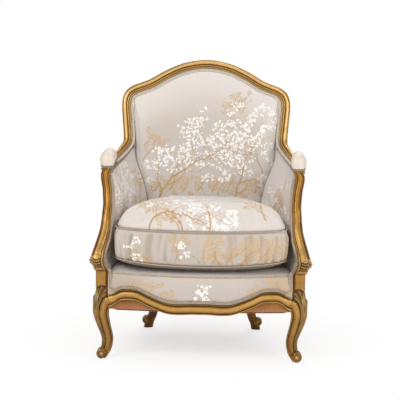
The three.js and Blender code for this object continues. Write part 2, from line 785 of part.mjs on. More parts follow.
function canvasAt(across, back, lift) {
  const point = seatPlanPoint(across, back, railThick / 4);
  const inboard = (1 - Math.abs(across)) * sidePlan.getPoint(back).x - armPadThick;
  const middle = smooth(inboard / springRadius) * smooth(Math.min(back, 1 - back) / canvasRiseShare);
  return point.setZ(mix(railTop + fit, canvasTop - canvasThick, middle) + lift);
}
const seatShares = [-1, -0.9, -0.78, -0.65, -0.4, 0, 0.4, 0.65, 0.78, 0.9, 1];
const depthShares = [0, 0.07, 0.14, 0.25, 0.5, 0.75, 0.88, 1];
const springCanvas = trimmed(slab(
  (s, t) => canvasAt(s, t, canvasThick), (s, t) => canvasAt(s, t, 0), seatShares, depthShares,
), [...bothSides(frontLeg), ...bothSides(backPost)]);

function borderTop(x) {
  return deckEdgeTop + deckEdgeRise * (x / frontLegX) ** 2;
}

function deckAt(across, back) {
  const point = seatPlanPoint(across, back, railThick / 4);
  return point.setZ(mix(borderTop(point.x), deckTop, smooth(back / deckRiseShare)));
}

// A point of the opening in the back: across from -1 to 1, up from the base to the crest
const shoulderShare = 0.8;

function openingPoint(across, up, base, inward) {
  const corner = onBack(padCornerIndex, inward, 0);
  const level = mix(base, corner.z, up);
  const side = onBack(edgeIndexAt(Math.min(level, rightEdge[shoulderIndex].z)), inward, 0);
  const width = mix(side.x, corner.x, smooth((up - shoulderShare) / (1 - shoulderShare)));
  const top = onBack(mix(edgeSpans - padCornerIndex, padCornerIndex, (across + 1) / 2), inward, 0);
  return vec(across * width + up * (top.x - across * corner.x), 0, level + up * up * (top.z - corner.z));
}

// Inside back pad: between the stiles, up to the crest, full in the middle
const padRimShares = [0.97, 0.98];
const padRiseShares = [0.33, 0.22];
const padFullnessShare = 0.6;

function backPadPoint(s, t, forward) {
  const point = openingPoint(s, t, backPadBase, mouldWidth + tackGap);
  return point.setY(backFace(point.x, point.z) - forward);
}

function backPadForward(s, t) {
  const side = (padRimShares[0] - Math.abs(s)) / padRiseShares[0];
  const top = (padRimShares[1] - t) / padRiseShares[1];
  return backPadBulge * smooth(Math.min(side, top)) ** padFullnessShare;
}
const padHalfShares = [0.2, 0.4, 0.57, 0.72, 0.86, 0.97, 1];
const padAcrossShares = [...[...padHalfShares].reverse().map((s) => -s), 0, ...padHalfShares];
const padUpShares = [0, 0.2, 0.4, 0.58, 0.74, 0.86, 0.94, 0.98, 1];
const backPadWhole = slab(
  (s, t) => backPadPoint(s, t, backPadForward(s, t)),
  (s, t) => backPadPoint(s, t, -backPadBehind), padAcrossShares, padUpShares,
);

// Braid over the tacked edges
function ribbon(centreAt, steps, width, thick) {
  return loft(steps.map((share) => {
    const { middle, across, out } = centreAt(share);
    return [[-1, 0], [1, 0], [1, 1], [-1, 1]].map(([side, up]) => middle.clone()
      .addScaledVector(across, side * width / 2).addScaledVector(out, up * thick));
  }));
}
const gimpBackStart = edgeIndexAt(armBackHeight + 2 * mouldWidth);
const gimpMiddle = mouldShares[7][0] * mouldWidth + 2 * fit + gimpWidth / 2;
const gimpBackStations = [
  ...postStations, ...crestStations.slice(1, -1), ...[...postStations].reverse().map((k) => edgeSpans - k),
].filter((index) => index > gimpBackStart && index < edgeSpans - gimpBackStart);
const gimpBack = ribbon((index) => {
  const forward = mouldShares[9][1] * mouldFront + 2 * fit;
  const middle = onBack(index, gimpMiddle, forward);
  return { middle, across: onBack(index, gimpMiddle + 1, forward).sub(middle), out: vec(0, -1, 0) };
}, gimpBackStations, gimpWidth, gimpThick);

const backPad = trimmed(backPadWhole, bothSides(backPost));

// Inside arm pads and the covers outside them
const stumpFaceSet = stumpHalfDepth / 2;
const stumpFaceShare = 0.12;
const wallStepShares = [0.03, 0.13];

function armPadPoint(s, t, inset) {
  const point = armWall(s, t);
  const forward = stumpFaceSet * (1 - smooth(s / stumpFaceShare));
  return vec(point.x - inset, point.y - forward, point.z);
}
const armUpShares = [0, 0.18, 0.36, 0.54, 0.7, 0.83, 0.93, 1];

// How deep the pad's back lies: behind the arm support's edge, then beside the stay rail
function armPadBackInset(s) {
  const step = smooth((s - wallStepShares[0]) / (wallStepShares[1] - wallStepShares[0]));
  return mix(stumpHalf, stayThick / 2, step) + 2 * fit;
}
const armPadWhole = slab(
  (s, t) => armPadPoint(s, t, armPadInset(s, t)), (s, t) => armPadPoint(s, t, armPadBackInset(s)),
  wallShares, armUpShares,
);
const armPad = trimmed(armPadWhole, [
  armStumpWhole, armRail, frontLeg, postTenoned, backPad, sideStay, springCanvas, backStay,
]);

const coverRowShares = [0, 0.25, 0.5, 0.75, 1];

function armCoverPoint(s, t, out) {
  return armWall(s, t).add(vec(stayThick / 2 + 2 * fit + out, 0, (t - 1) * (canvasThick + fit)));
}
const outsideArmWhole = slab(
  (s, t) => armCoverPoint(s, t, coverThick), (s, t) => armCoverPoint(s, t, 0), wallShares, coverRowShares,
);
const outsideArm = trimmed(outsideArmWhole, [
  armStumpWhole, armRail, frontLeg, backPost, sideRail, sideStay,
]);

const coverBehind = backPadBehind + backStayThick + 4 * fit;

function backCoverPoint(s, t, forward) {
  const point = openingPoint(s, t, railTop + fit, mouldWidth + tackGap);
  return point.setY(backFace(point.x, point.z) - forward);
}
const outsideBack = trimmed(slab(
  (s, t) => backCoverPoint(s, t, -coverBehind),
  (s, t) => backCoverPoint(s, t, -coverBehind - coverThick), padAcrossShares, padUpShares,
), bothSides(backPost));

// The seat's stuffing, trimmed by what stands round it
const seatDeck = trimmed(slab(
  deckAt, (s, t) => canvasAt(s, t, canvasThick + fit), seatShares, depthShares,
), [
  ...bothSides(armPad), backPad, ...bothSides(frontLeg), ...bothSides(armStumpWhole), ...bothSides(backPost),
  frontRail,
]);

// Front border: a stuffed band from the apron's moulding up to the welt
const borderShares = [[-1, 0.55], [-0.5, 0.9], [0.5, 1]];

function borderSection(share) {
  const { x, z } = apronEdge.getPoint(share);
  const lower = z + apronMould + 2 * fit;
  const top = borderTop(x);
  const front = apronProud - borderStand;
  return [
    [apronProud - 2 * fit, lower], [front, lower], [front, lower + gimpWidth],
    ...borderShares.map(([back, up]) => [front + back * borderBulge, mix(lower, top, up)]),
    [apronProud - 2 * fit, top],
  ].map(([back, height]) => vec(x, frontFace(x) + back, height));
}
const borderWhole = loft(apronStations.map(borderSection));
const gimpSeatFront = ribbon((share) => {
  const { x, z } = apronEdge.getPoint(share);
  const height = z + apronMould + 2 * fit + gimpWidth / 2;
  const middle = vec(x, frontFace(x) + apronProud - borderStand - fit, height);
  return { middle, across: vec(0, 0, 1), out: vec(0, -1, 0) };
}, apronStations, gimpWidth, gimpThick);
const borderWeltPath = curveThrough(apronStations.map((share) => {
  const { x } = apronEdge.getPoint(share);
  return vec(
    x, frontFace(x) + apronProud - borderStand + borderBulge / 2, borderTop(x) + weltRadius + 2 * fit,
  );
}));
const weltSides = 6;
const borderWeltSteps = 22;

function weltRings(path, radius, steps, loop) {
  return evenly(steps).slice(0, loop ? -1 : undefined).map((share) => (
    evenly(weltSides).slice(1).map((turn) => beside(
      path, share, radius * Math.cos(fullTurn * turn), radius * Math.sin(fullTurn * turn),
    ))
  ));
}
const borderWeltWhole = loft(weltRings(borderWeltPath, weltRadius, borderWeltSteps, false));
const frontNeighbours = [...bothSides(frontLeg), ...bothSides(armStumpWhole)];
const seatBorder = trimmed(borderWhole, frontNeighbours);
const gimpSeatCut = trimmed(gimpSeatFront, frontNeighbours);
const borderWelt = trimmed(borderWeltWhole, [...frontNeighbours, seatDeck]);

// Braid beside the arm supports
const gimpStumpSteps = 14;
const gimpStumpShares = [0.14, 0.97];
const gimpStump = trimmed(ribbon((t) => {
  const front = armPadPoint(0, t, 0);
  const middle = vec(front.x - stumpHalf - fit - gimpWidth / 2, front.y - fit, front.z);
  return { middle, across: vec(1, 0, 0), out: vec(0, -1, 0) };
}, evenly(gimpStumpSteps, ...gimpStumpShares), gimpWidth, gimpThick), [
  frontLeg, armStumpWhole, armRail, armPad, seatDeck,
]);

// Small pads on the arms, and the braid round their feet
const restRowShares = [
  [0, 0.42], [0.03, 0.74], [0.09, 0.93], [0.2, 1], [0.4, 1], [0.6, 0.98], [0.8, 0.93], [0.91, 0.8],
  [0.97, 0.6], [1, 0.34],
];
const restSectionShares = [
  [-0.93, 0], [0.93, 0], [1.03, 0.28], [1, 0.56], [0.8, 0.85], [0.4, 1], [-0.4, 1], [-0.8, 0.85],
  [-1, 0.56], [-1.03, 0.28],
];

const restStart = pathShareAt(armPath, armStart.y - armNose + restNoseSet);
const restEnd = pathShareAt(armPath, restEndY);
const restFoot = armHalfHeight + 3 * fit;
const restShare = (share) => mix(restStart, restEnd, share);
const armRest = loft(restRowShares.map(([share, size]) => restSectionShares.map(([s, u]) => beside(
  armPath, restShare(share), s * size * restHalf, restFoot + u * Math.sqrt(size) * restHeight,
))));

const restLoop = [
  ...restRowShares.map(([share, size]) => [share, size]),
  ...[...restRowShares].reverse().map(([share, size]) => [share, -size]),
];

function restFootPoint(k, up) {
  const [share, size] = restLoop[(k + restLoop.length) % restLoop.length];
  return beside(armPath, restShare(share), size * restHalf, restFoot + up);
}
const gimpRest = loft(restLoop.map((unused, k) => {
  const foot = restFootPoint(k, 0);
  const over = restFootPoint(k, restGimpHeight).sub(foot);
  const away = restFootPoint(k + 1, 0).sub(restFootPoint(k - 1, 0)).cross(over).normalize();
  return [[0, 0], [1, 0], [1, 1], [0, 1]].map(([out, up]) => foot.clone()
    .addScaledVector(away, fit + out * gimpThick).addScaledVector(over, up));
}), true);

// Loose cushion: crowned, with sides drawn in to its two seams
// Share of the plan, height, and whether the ring is drawn in at a seam
const cushionRowShares = [
  [0.5, 0, 0], [0.8, 0.004, 0], [0.92, 0.028, 0], [0.975, 0.062, 0], [1, 0.094, 1], [1.008, 0.2, 0],
  [1.013, 0.34, 0], [1.008, 0.49, 0], [1, 0.578, 1], [0.97, 0.62, 0], [0.87, 0.74, 0], [0.66, 0.88, 0],
  [0.38, 0.965, 0], [0.12, 0.997, 0],
];
const cushionSideSteps = 16;
const cushionBase = deckTop + fit;
const seamRows = cushionRowShares.filter(([, , seam]) => seam > 0);

// How far out the inner face of an arm pad lies at a depth and a height. The cushion keeps inside
// the least of them up to the arm rail, so that it lifts straight out.
function armPadReach(y, height) {
  const level = (height - wallBase) / (wallTop(0).z - wallBase);
  const points = wallShares.map((s) => armPadPoint(s, level, armPadInset(s, level)));
  let k = 1;
  while (k < points.length - 1 && points[k].y < y) k += 1;
  const [low, high] = [points[k - 1], points[k]];
  return mix(low.x, high.x, THREE.MathUtils.clamp((y - low.y) / (high.y - low.y), 0, 1));
}

function cushionSide(back) {
  const y = mix(cushionFrontY, cushionBackY, back);
  const heights = evenly(cushionSideSteps, cushionBase, wallTop(0).z);
  const reaches = heights.map((height) => armPadReach(y, height));
  return vec(Math.min(cushionHalf, ...reaches) - cushionEase, y, 0);
}

// Half of the plan: shares of the width at the front and the back, and depths along the side
const cushionFrontShares = [[0.45, 0.002], [0.82, 0.01], [0.965, 0.04]];
const cushionSideShares = [0.1, 0.2, 0.33, 0.47, 0.61, 0.74, 0.85];
const cushionBackShares = [[0.985, 0.955], [0.78, 0.992]];
const cushionCornerShare = 0.93;

function cushionEnd(width) {
  return ([across, back]) => vec(across * width, mix(cushionFrontY, cushionBackY, back), 0);
}
const cushionHalfPlan = [
  ...cushionFrontShares.map(cushionEnd(cushionSide(0).x)),
  ...cushionSideShares.map(cushionSide),
  ...cushionBackShares.map(cushionEnd(cushionSide(cushionCornerShare).x)),
];
const cushionPlan = new THREE.CatmullRomCurve3([
  vec(0, cushionFrontY, 0), ...cushionHalfPlan, vec(0, cushionBackY, 0),
  ...[...cushionHalfPlan].reverse().map((p) => vec(-p.x, p.y, 0)),
], true);
const cushionMiddle = vec(0, (cushionFrontY + cushionBackY) / 2, 0);
const weltStand = weltRadius + 2 * fit;
const cushionSteps = 36;

function cushionPoint(turn, [size, height, seam]) {
  const edge = cushionPlan.getPoint(turn);
  const forward = cushionPlan.getTangent(turn);
  const point = edge.sub(cushionMiddle).multiplyScalar(size).add(cushionMiddle);
  point.addScaledVector(vec(forward.y, -forward.x, 0), -seam * weltStand);
  return point.setZ(cushionBase + height * cushionThick);
}
const cushionTurns = evenly(cushionSteps).slice(0, -1);
const cushionWhole = loft(cushionRowShares.map((row) => (
  cushionTurns.map((turn) => cushionPoint(turn, row))
)));

function seamWelt(row) {
  const [size, height] = row;
  const points = cushionTurns.map((turn) => cushionPoint(turn, [size, height, 0]));
  const path = new THREE.CatmullRomCurve3(points, true);
  return loft(weltRings(path, weltRadius, cushionSteps, true), true);
}
const [bottomWelt, topWelt] = seamRows.map(seamWelt);
const cushion = trimmed(cushionWhole, [bottomWelt, topWelt]);

// Dust cloth under the seat
const clothTop = sideRailBottom - 2 * fit - webThick;
const clothSteps = 8;
const clothSideShares = [0.12, 0.94];
const clothSide = evenly(clothSteps, ...clothSideShares).map((share) => sidePlan.getPoint(share));
const clothPlan = new THREE.Shape([
  ...evenly(clothSteps, -1, 1).map((s) => {
    const x = s * (frontLegX - kneeHalf - clothInset);
    return new THREE.Vector2(x, frontFace(x) + apronProud + clothInset);
  }),
  ...clothSide.map(({ x, y }) => new THREE.Vector2(x, y)),
  ...[...clothSide].reverse().map(({ x, y }) => new THREE.Vector2(-x, y)),
]);
const clothGeometry = new THREE.ExtrudeGeometry(clothPlan, { depth: clothThick, bevelEnabled: false });
clothGeometry.translate(0, 0, clothTop - clothThick);
const bottomCloth = trimmed(solidOf(clothGeometry), [...bothSides(backPost), ...bothSides(frontLeg)]);

// Finishes
const finishes = {
  gilt: { color: 0xc8963c, roughness: 0.45, metalness: 0.35 },
  beech: { color: 0xbe8c64, roughness: 0.7, metalness: 0 },
  brocade: { color: 0xe1d7cd, roughness: 0.6, metalness: 0 },
  satin: { color: 0xebe1d4, roughness: 0.6, metalness: 0 },
  braid: { color: 0xa5968c, roughness: 0.8, metalness: 0 },
  steel: { color: 0x8c8f94, roughness: 0.35, metalness: 1 },
  canvas: { color: 0xb49b78, roughness: 0.9, metalness: 0 },
};

function meshOf(name, solid, finish) {
  const { vertProperties, triVerts } = solid.getMesh();
  const geometry = new THREE.BufferGeometry();
  geometry.setAttribute('position', new THREE.BufferAttribute(new Float32Array(vertProperties), 3));
  geometry.setIndex(new THREE.BufferAttribute(new Uint32Array(triVerts), 1));
  geometry.computeVertexNormals();
  const mesh = new THREE.Mesh(geometry, new THREE.MeshStandardMaterial(finishes[finish]));
  mesh.name = name;
  return mesh;
}

// The chair, put together
const chair = new THREE.Group();
const rightHalf = new THREE.Group();
const leftHalf = new THREE.Group();
leftHalf.scale.x = -1;
const looseCushion = new THREE.Group();

function addPair(name, solid, finish) {
  const right = meshOf(`${name}_right`, solid, finish);
  const left = right.clone();
  left.name = `${name}_left`;
  rightHalf.add(right);
  leftHalf.add(left);
}

addPair('front_leg', frontLegCut, 'gilt');
addPair('back_post', backPostCut, 'gilt');
addPair('arm_stump', armStumpCut, 'gilt');
addPair('arm_rail', armRailCut, 'gilt');
addPair('side_seat_rail', sideRail, 'gilt');
addPair('side_stay_rail', sideStay, 'beech');
addPair('corner_block_front', frontBlock, 'beech');
addPair('corner_block_back', backBlock, 'beech');
addPair('crest_peg', crestPeg, 'beech');
addPair('inside_arm_pad', armPad, 'brocade');
addPair('outside_arm_cover', outsideArm, 'brocade');
addPair('arm_pad', armRest, 'satin');
addPair('gimp_stump', gimpStump, 'braid');
addPair('gimp_arm_pad', gimpRest, 'braid');

chair.add(meshOf('crest_rail', crestCut, 'gilt'));
chair.add(meshOf('front_seat_rail', mainBody(frontRail), 'gilt'));
chair.add(meshOf('back_seat_rail', mainBody(backRail), 'gilt'));
chair.add(meshOf('back_stay_rail', backStay, 'beech'));
[-1, 0, 1].forEach((place, k) => {
  chair.add(meshOf(`web_long_${k + 1}`, webLong(place * webSpacing), 'canvas'));
});
[webCrossFront, webCrossBack].forEach((y, k) => {
  chair.add(meshOf(`web_cross_${k + 1}`, webCross(y), 'canvas'));
  [-1, 0, 1].forEach((place, column) => {
    const spring = meshOf(`seat_spring_${3 * k + column + 1}`, seatSpring, 'steel');
    spring.position.set(place * webSpacing, y, springBase);
    chair.add(spring);
  });
});
chair.add(meshOf('spring_canvas', springCanvas, 'canvas'));
chair.add(meshOf('seat_deck', seatDeck, 'satin'));
chair.add(meshOf('seat_front_border', seatBorder, 'brocade'));
chair.add(meshOf('seat_border_welt', borderWelt, 'brocade'));
chair.add(meshOf('gimp_seat_front', gimpSeatCut, 'braid'));
chair.add(meshOf('inside_back_pad', backPad, 'brocade'));
chair.add(meshOf('gimp_back', gimpBack, 'braid'));
chair.add(meshOf('outside_back_cover', outsideBack, 'brocade'));
chair.add(meshOf('bottom_cloth', bottomCloth, 'canvas'));

looseCushion.add(meshOf('seat_cushion', cushion, 'brocade'));
looseCushion.add(meshOf('cushion_welt_top', topWelt, 'brocade'));
looseCushion.add(meshOf('cushion_welt_bottom', bottomWelt, 'brocade'));
chair.add(rightHalf, leftHalf, looseCushion);

// The origin is at the middle of the underside of the box round the chair
const box = new THREE.Box3().setFromObject(chair);
chair.position.set(-(box.min.x + box.max.x) / 2, -(box.min.y + box.max.y) / 2, -box.min.z);

export default chair;
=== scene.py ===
import math
import time

import bpy
import numpy as np
from mathutils import Matrix, Vector
from mathutils.bvhtree import BVHTree


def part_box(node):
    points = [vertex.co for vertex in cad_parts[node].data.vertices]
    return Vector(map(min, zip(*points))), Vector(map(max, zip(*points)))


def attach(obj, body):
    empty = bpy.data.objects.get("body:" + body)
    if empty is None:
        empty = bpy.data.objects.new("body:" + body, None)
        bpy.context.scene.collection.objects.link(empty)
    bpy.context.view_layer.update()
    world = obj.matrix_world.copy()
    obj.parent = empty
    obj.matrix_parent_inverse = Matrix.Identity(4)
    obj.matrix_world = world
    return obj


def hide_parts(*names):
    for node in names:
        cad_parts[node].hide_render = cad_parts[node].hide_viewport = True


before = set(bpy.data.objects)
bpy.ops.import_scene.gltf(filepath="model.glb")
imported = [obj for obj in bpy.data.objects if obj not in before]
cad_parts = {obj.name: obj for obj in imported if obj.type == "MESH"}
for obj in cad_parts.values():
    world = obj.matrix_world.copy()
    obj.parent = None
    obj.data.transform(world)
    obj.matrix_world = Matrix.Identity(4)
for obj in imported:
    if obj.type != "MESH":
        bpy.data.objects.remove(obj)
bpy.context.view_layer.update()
started = time.time()


def report(stage):
    print(f"{stage}, {time.time() - started:.0f} s")


report("frame loaded")

# Sizes are in millimetres, in the chair's own plan: +X the viewer's right, -Y the front, +Z up.
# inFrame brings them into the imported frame, in metres, by the middle of the front cross web.
chair = {
    "height": 1032, "backHalf": 327, "legX": 324, "legY": -308, "webFrontY": -175,
    "faceY": 235, "slope": 0.1645, "hollow": 45, "bendHeight": 240, "splay": 36,
    "railBottom": 168, "railTop": 245, "railThick": 38, "legTop": 293,
}
webLow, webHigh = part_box("web_cross_1")
planShift = np.array([0, (webLow.y + webHigh.y) / 2 - chair["webFrontY"] / 1000, 0])


def inFrame(points):
    return np.asarray(points, float) / 1000 + planShift


# Small sums on numbers and on rows of points
def mix(low, high, share):
    return low + (high - low) * share


def smooth(value):
    v = np.clip(value, 0, 1)
    return v * v * (3 - 2 * v)


def evenly(count, low=0.0, high=1.0):
    return np.linspace(low, high, count + 1)


def bell(away, width):
    return np.exp(-((away / width) ** 2))


def rowsAt(rows, share):
    table = np.array(rows, float)
    return [np.interp(share, table[:, 0], table[:, k]) for k in range(1, table.shape[1])]


def unit(vectors):
    return vectors / np.maximum(np.linalg.norm(vectors, axis=-1, keepdims=True), 1e-9)


def stack(*columns):
    return np.stack(np.broadcast_arrays(*columns), -1)


def sameLength(s, t):
    return [v.ravel() for v in np.broadcast_arrays(np.asarray(s, float), np.asarray(t, float))]


# Shares across and up, row by row, and the shape of their grid
def shareGrid(across, up):
    s, t = np.meshgrid(across, up, indexing="xy")
    return s.ravel(), t.ravel(), s.shape


# Smooth curves through hand-set points, read at shares of their spans
def curveAt(points, share, loop=False):
    points = np.asarray(points, float)
    share = np.atleast_1d(np.asarray(share, float))
    spans = len(points) if loop else len(points) - 1
    at = share * spans
    k = np.floor(at).astype(int)
    if not loop:
        k = np.clip(k, 0, spans - 1)
    w = (at - k)[:, None]
    if loop:
        corners = [points[(k + step) % len(points)] for step in (-1, 0, 1, 2)]
    else:
        longer = np.vstack([2 * points[0] - points[1], points, 2 * points[-1] - points[-2]])
        corners = [longer[k + step] for step in range(4)]
    a, b, c, d = corners
    pairs = ((a, b), (b, c), (c, d))
    gaps = [np.maximum(np.linalg.norm(q - p, axis=1), 1e-4)[:, None] ** 0.5 for p, q in pairs]
    leave = ((b - a) / gaps[0] - (c - a) / (gaps[0] + gaps[1]) + (c - b) / gaps[1]) * gaps[1]
    reach = ((c - b) / gaps[1] - (d - b) / (gaps[1] + gaps[2]) + (d - c) / gaps[2]) * gaps[1]
    cubic = 2 * b - 2 * c + leave + reach
    square = -3 * b + 3 * c - 2 * leave - reach
    return ((cubic * w + square) * w + leave) * w + b


def curveAlong(points, share, loop=False):
    step = 1e-4
    low, high = np.asarray(share) - step, np.asarray(share) + step
    if not loop:
        low, high = np.clip(low, 0, 1), np.clip(high, 0, 1)
    return unit(curveAt(points, high, loop) - curveAt(points, low, loop))


def beside(points, share, side, up, loop=False):
    along = curveAlong(points, share, loop)
    across = unit(np.cross(along, [0, 0, 1]))
    over = np.cross(across, along)
    return curveAt(points, share, loop) + across * np.reshape(side, (-1, 1)) + over * np.reshape(up, (-1, 1))


# Parts of a piece: points, faces, and marks that the finishes read
def part(points, faces, marks=None):
    return {"points": np.asarray(points, float).reshape(-1, 3), "faces": faces, "marks": marks or {}}


def together(*parts):
    points, faces, start = [], [], 0
    names = {name for p in parts for name in p["marks"]}
    marks = {name: [] for name in names}
    for p in parts:
        points.append(p["points"])
        faces += [[k + start for k in face] for face in p["faces"]]
        for name in names:
            marks[name].append(p["marks"].get(name, np.zeros(len(p["points"]))))
        start += len(p["points"])
    return part(np.vstack(points), faces, {name: np.concatenate(v) for name, v in marks.items()})


def mirrored(p):
    return part(p["points"] * [-1, 1, 1], [face[::-1] for face in p["faces"]], dict(p["marks"]))


def skin(rings, loop=False, marks=None):
    count, size = rings.shape[:2]
    r = np.arange(count if loop else count - 1)[:, None]
    k = np.arange(size)[None, :]
    after, over = (k + 1) % size, (r + 1) % count
    quads = stack(r * size + k, r * size + after, over * size + after, over * size + k)
    faces = quads.reshape(-1, 4).tolist()
    if not loop:
        faces.append(list(range(size))[::-1])
        faces.append(list(range((count - 1) * size, count * size)))
    spread = {name: np.broadcast_to(v, (count, size)).ravel() for name, v in (marks or {}).items()}
    return part(rings, faces, spread)


# A slab between a face and a back over the same grid, closed round its rim
def slab(grid, face, back):
    rows, columns = grid
    total = rows * columns
    r, k = np.arange(rows - 1)[:, None], np.arange(columns - 1)[None, :]
    first = r * columns + k
    quads = np.stack([first, first + 1, first + columns + 1, first + columns], -1).reshape(-1, 4)
    rim = np.concatenate([
        np.arange(columns), np.arange(1, rows) * columns + columns - 1,
        (rows - 1) * columns + np.arange(columns - 2, -1, -1), np.arange(rows - 2, 0, -1) * columns,
    ])
    after = np.roll(rim, -1)
    sides = np.stack([after, rim, rim + total, after + total], -1)
    faces = quads.tolist() + (quads[:, ::-1] + total).tolist() + sides.tolist()
    return part(np.vstack([face, back]), faces)


def volume(points, faces):
    total = 0.0
    byCount = {}
    for face in faces:
        byCount.setdefault(len(face), []).append(face)
    for count, same in byCount.items():
        ids = np.array(same)
        for k in range(1, count - 1):
            a, b, c = points[ids[:, 0]], points[ids[:, k]], points[ids[:, k + 1]]
            total += np.einsum("ij,ij->i", a, np.cross(b, c)).sum()
    return total


def onlyActive(piece):
    bpy.ops.object.select_all(action="DESELECT")
    piece.select_set(True)
    bpy.context.view_layer.objects.active = piece


def setMarks(piece, marks):
    for name, values in marks.items():
        held = piece.data.attributes.get(name) or piece.data.attributes.new(name, "FLOAT", "POINT")
        held.data.foreach_set("value", np.ascontiguousarray(values, np.float32))


smoothAngle = 38


def makePiece(name, shape, finish, slotName, stands=(), body="frame"):
    faces = shape["faces"]
    if volume(shape["points"], faces) < 0:
        faces = [face[::-1] for face in faces]
    mesh = bpy.data.meshes.new(name)
    mesh.from_pydata(inFrame(shape["points"]).tolist(), [], faces)
    piece = bpy.data.objects.new(name, mesh)
    bpy.context.scene.collection.objects.link(piece)
    setMarks(piece, shape["marks"])
    onlyActive(piece)
    bpy.ops.object.shade_smooth_by_angle(angle=math.radians(smoothAngle))
    mesh.materials.append(finish)
    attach(piece, body)
    if stands:
        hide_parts(*stands)
    return piece


def makePair(name, shape, finish, slotName, node):
    pieces = []
    for side, half in (("right", shape), ("left", mirrored(shape))):
        pieces.append(makePiece(f"{name}_{side}", half, finish, slotName, [f"{node}_{side}"]))
    return pieces


# Finishes
def paint(red, green, blue):
    levels = [c / 255 for c in (red, green, blue)]
    return (*[c / 12.92 if c <= 0.04045 else ((c + 0.055) / 1.055) ** 2.4 for c in levels], 1)


def addNode(tree, kind, inputs=None, **settings):
    made = tree.nodes.new(kind)
    for name, value in settings.items():
        setattr(made, name, value)
    for name, value in (inputs or {}).items():
        socket = made.inputs[name]
        if isinstance(value, bpy.types.NodeSocket):
            tree.links.new(value, socket)
        else:
            socket.default_value = value
    return made


def newFinish(name, **shader):
    finish = bpy.data.materials.new(name)
    finish.use_nodes = True
    tree = finish.node_tree
    surface = tree.nodes["Principled BSDF"]
    for socket, value in shader.items():
        surface.inputs[socket.replace("_", " ")].default_value = value
    place = addNode(tree, "ShaderNodeTexCoord").outputs["Object"]
    return finish, tree, surface, place


def readMark(tree, name):
    return addNode(tree, "ShaderNodeAttribute", attribute_name=name).outputs["Fac"]


def blendColours(tree, share, under, over):
    made = addNode(tree, "ShaderNodeMix", data_type="RGBA")
    for socket, value in ((made.inputs[0], share), (made.inputs[6], under), (made.inputs[7], over)):
        if isinstance(value, bpy.types.NodeSocket):
            tree.links.new(value, socket)
        else:
            socket.default_value = value
    return made.outputs[2]


def calculate(tree, way, first, second=0.0, clamp=False):
    return addNode(tree, "ShaderNodeMath", {0: first, 1: second}, operation=way, use_clamp=clamp).outputs[0]


def times(tree, first, second, clamp=False):
    return calculate(tree, "MULTIPLY", first, second, clamp)


def plus(tree, first, second):
    return calculate(tree, "ADD", first, second)


def ranged(tree, value, low, high, start=0.0, end=1.0):
    made = addNode(tree, "ShaderNodeMapRange", {
        "Value": value, "From Min": low, "From Max": high, "To Min": start, "To Max": end,
    }, interpolation_type="SMOOTHSTEP")
    return made.outputs[0]


def stretched(tree, place, scale):
    return addNode(tree, "ShaderNodeMapping", {"Vector": place, "Scale": scale}).outputs[0]


def noiseAt(tree, place, scale, detail=3.0, rough=0.55):
    return addNode(tree, "ShaderNodeTexNoise", {
        "Vector": place, "Scale": scale, "Detail": detail, "Roughness": rough,
    }).outputs["Fac"]


def coloured(tree, surface, base, height, distance, strength=1.0):
    tree.links.new(base, surface.inputs["Base Color"])
    bump = addNode(tree, "ShaderNodeBump", {"Height": height, "Distance": distance, "Strength": strength})
    tree.links.new(bump.outputs[0], surface.inputs["Normal"])


giltTones = {
    "ochre": paint(164, 112, 30), "bright": paint(244, 208, 140), "amber": paint(192, 136, 46),
    "brown": paint(74, 44, 12), "greyGreen": paint(170, 158, 112), "worn": paint(204, 176, 128),
    "beech": paint(182, 128, 90), "dark": paint(72, 40, 6),
}


# Old gilding: rubbed bright on the crowns, partly as painted highlight, glazed brown in the hollows, with
# grey-green lines
def makeGilt(name, rubAndHighlight=1.0, darken=0.0):
    finish, tree, surface, place = newFinish(
        name, Roughness=0.42, Metallic=0.62, Coat_Weight=0.05, Coat_Roughness=0.3,
    )
    patches = noiseAt(tree, place, 16)
    fine = noiseAt(tree, place, 190, 4, 0.7)
    streaks = noiseAt(tree, stretched(tree, place, (70, 70, 14)), 4, 3, 0.6)
    base = blendColours(tree, ranged(tree, patches, 0.35, 0.7), giltTones["ochre"], giltTones["amber"])
    # The crowns: rubbed gilding, brightened further as a painted highlight
    worn = ranged(tree, streaks, 0.25, 0.6, 0.35 * rubAndHighlight, 0.85 * rubAndHighlight)
    rubbedAndHighlit = times(tree, readMark(tree, "crown"), worn)
    base = blendColours(tree, rubbedAndHighlit, base, giltTones["bright"])
    base = blendColours(tree, ranged(tree, streaks, 0.52, 0.8, 0, 0.5), base, giltTones["brown"])
    base = blendColours(tree, ranged(tree, fine, 0.6, 0.75, 0, 0.3), base, giltTones["worn"])
    # A darker tone for the lower parts of the frame
    if darken:
        base = blendColours(tree, darken, base, giltTones["dark"])
    line = times(tree, readMark(tree, "line"), ranged(tree, fine, 0.3, 0.6, 0.4, 0.85))
    base = blendColours(tree, line, base, giltTones["greyGreen"])
    # The hollow mark: brown glaze in the grooves, and painted shade on faces turned away and under parts
    glaze = times(tree, readMark(tree, "hollow"), ranged(tree, patches, 0.3, 0.7, 0.97, 0.75))
    base = blendColours(tree, glaze, base, giltTones["brown"])
    base = blendColours(tree, readMark(tree, "worn"), base, giltTones["worn"])
    raw = blendColours(tree, ranged(tree, streaks, 0.3, 0.8), giltTones["beech"], paint(166, 108, 74))
    base = blendColours(tree, readMark(tree, "raw"), base, raw)
    coloured(tree, surface, base, plus(tree, fine, streaks), 0.0004, 0.5)
    return finish


def makeBeech():
    finish, tree, surface, place = newFinish("beechWood", Roughness=0.7)
    grain = noiseAt(tree, stretched(tree, place, (8, 60, 60)), 3, 5, 0.6)
    flecks = noiseAt(tree, stretched(tree, place, (40, 300, 300)), 2, 2)
    base = blendColours(tree, ranged(tree, grain, 0.3, 0.7), paint(186, 138, 98), paint(206, 164, 122))
    base = blendColours(tree, ranged(tree, flecks, 0.62, 0.7, 0, 0.5), base, paint(140, 92, 58))
    coloured(tree, surface, base, grain, 0.0004)
    return finish
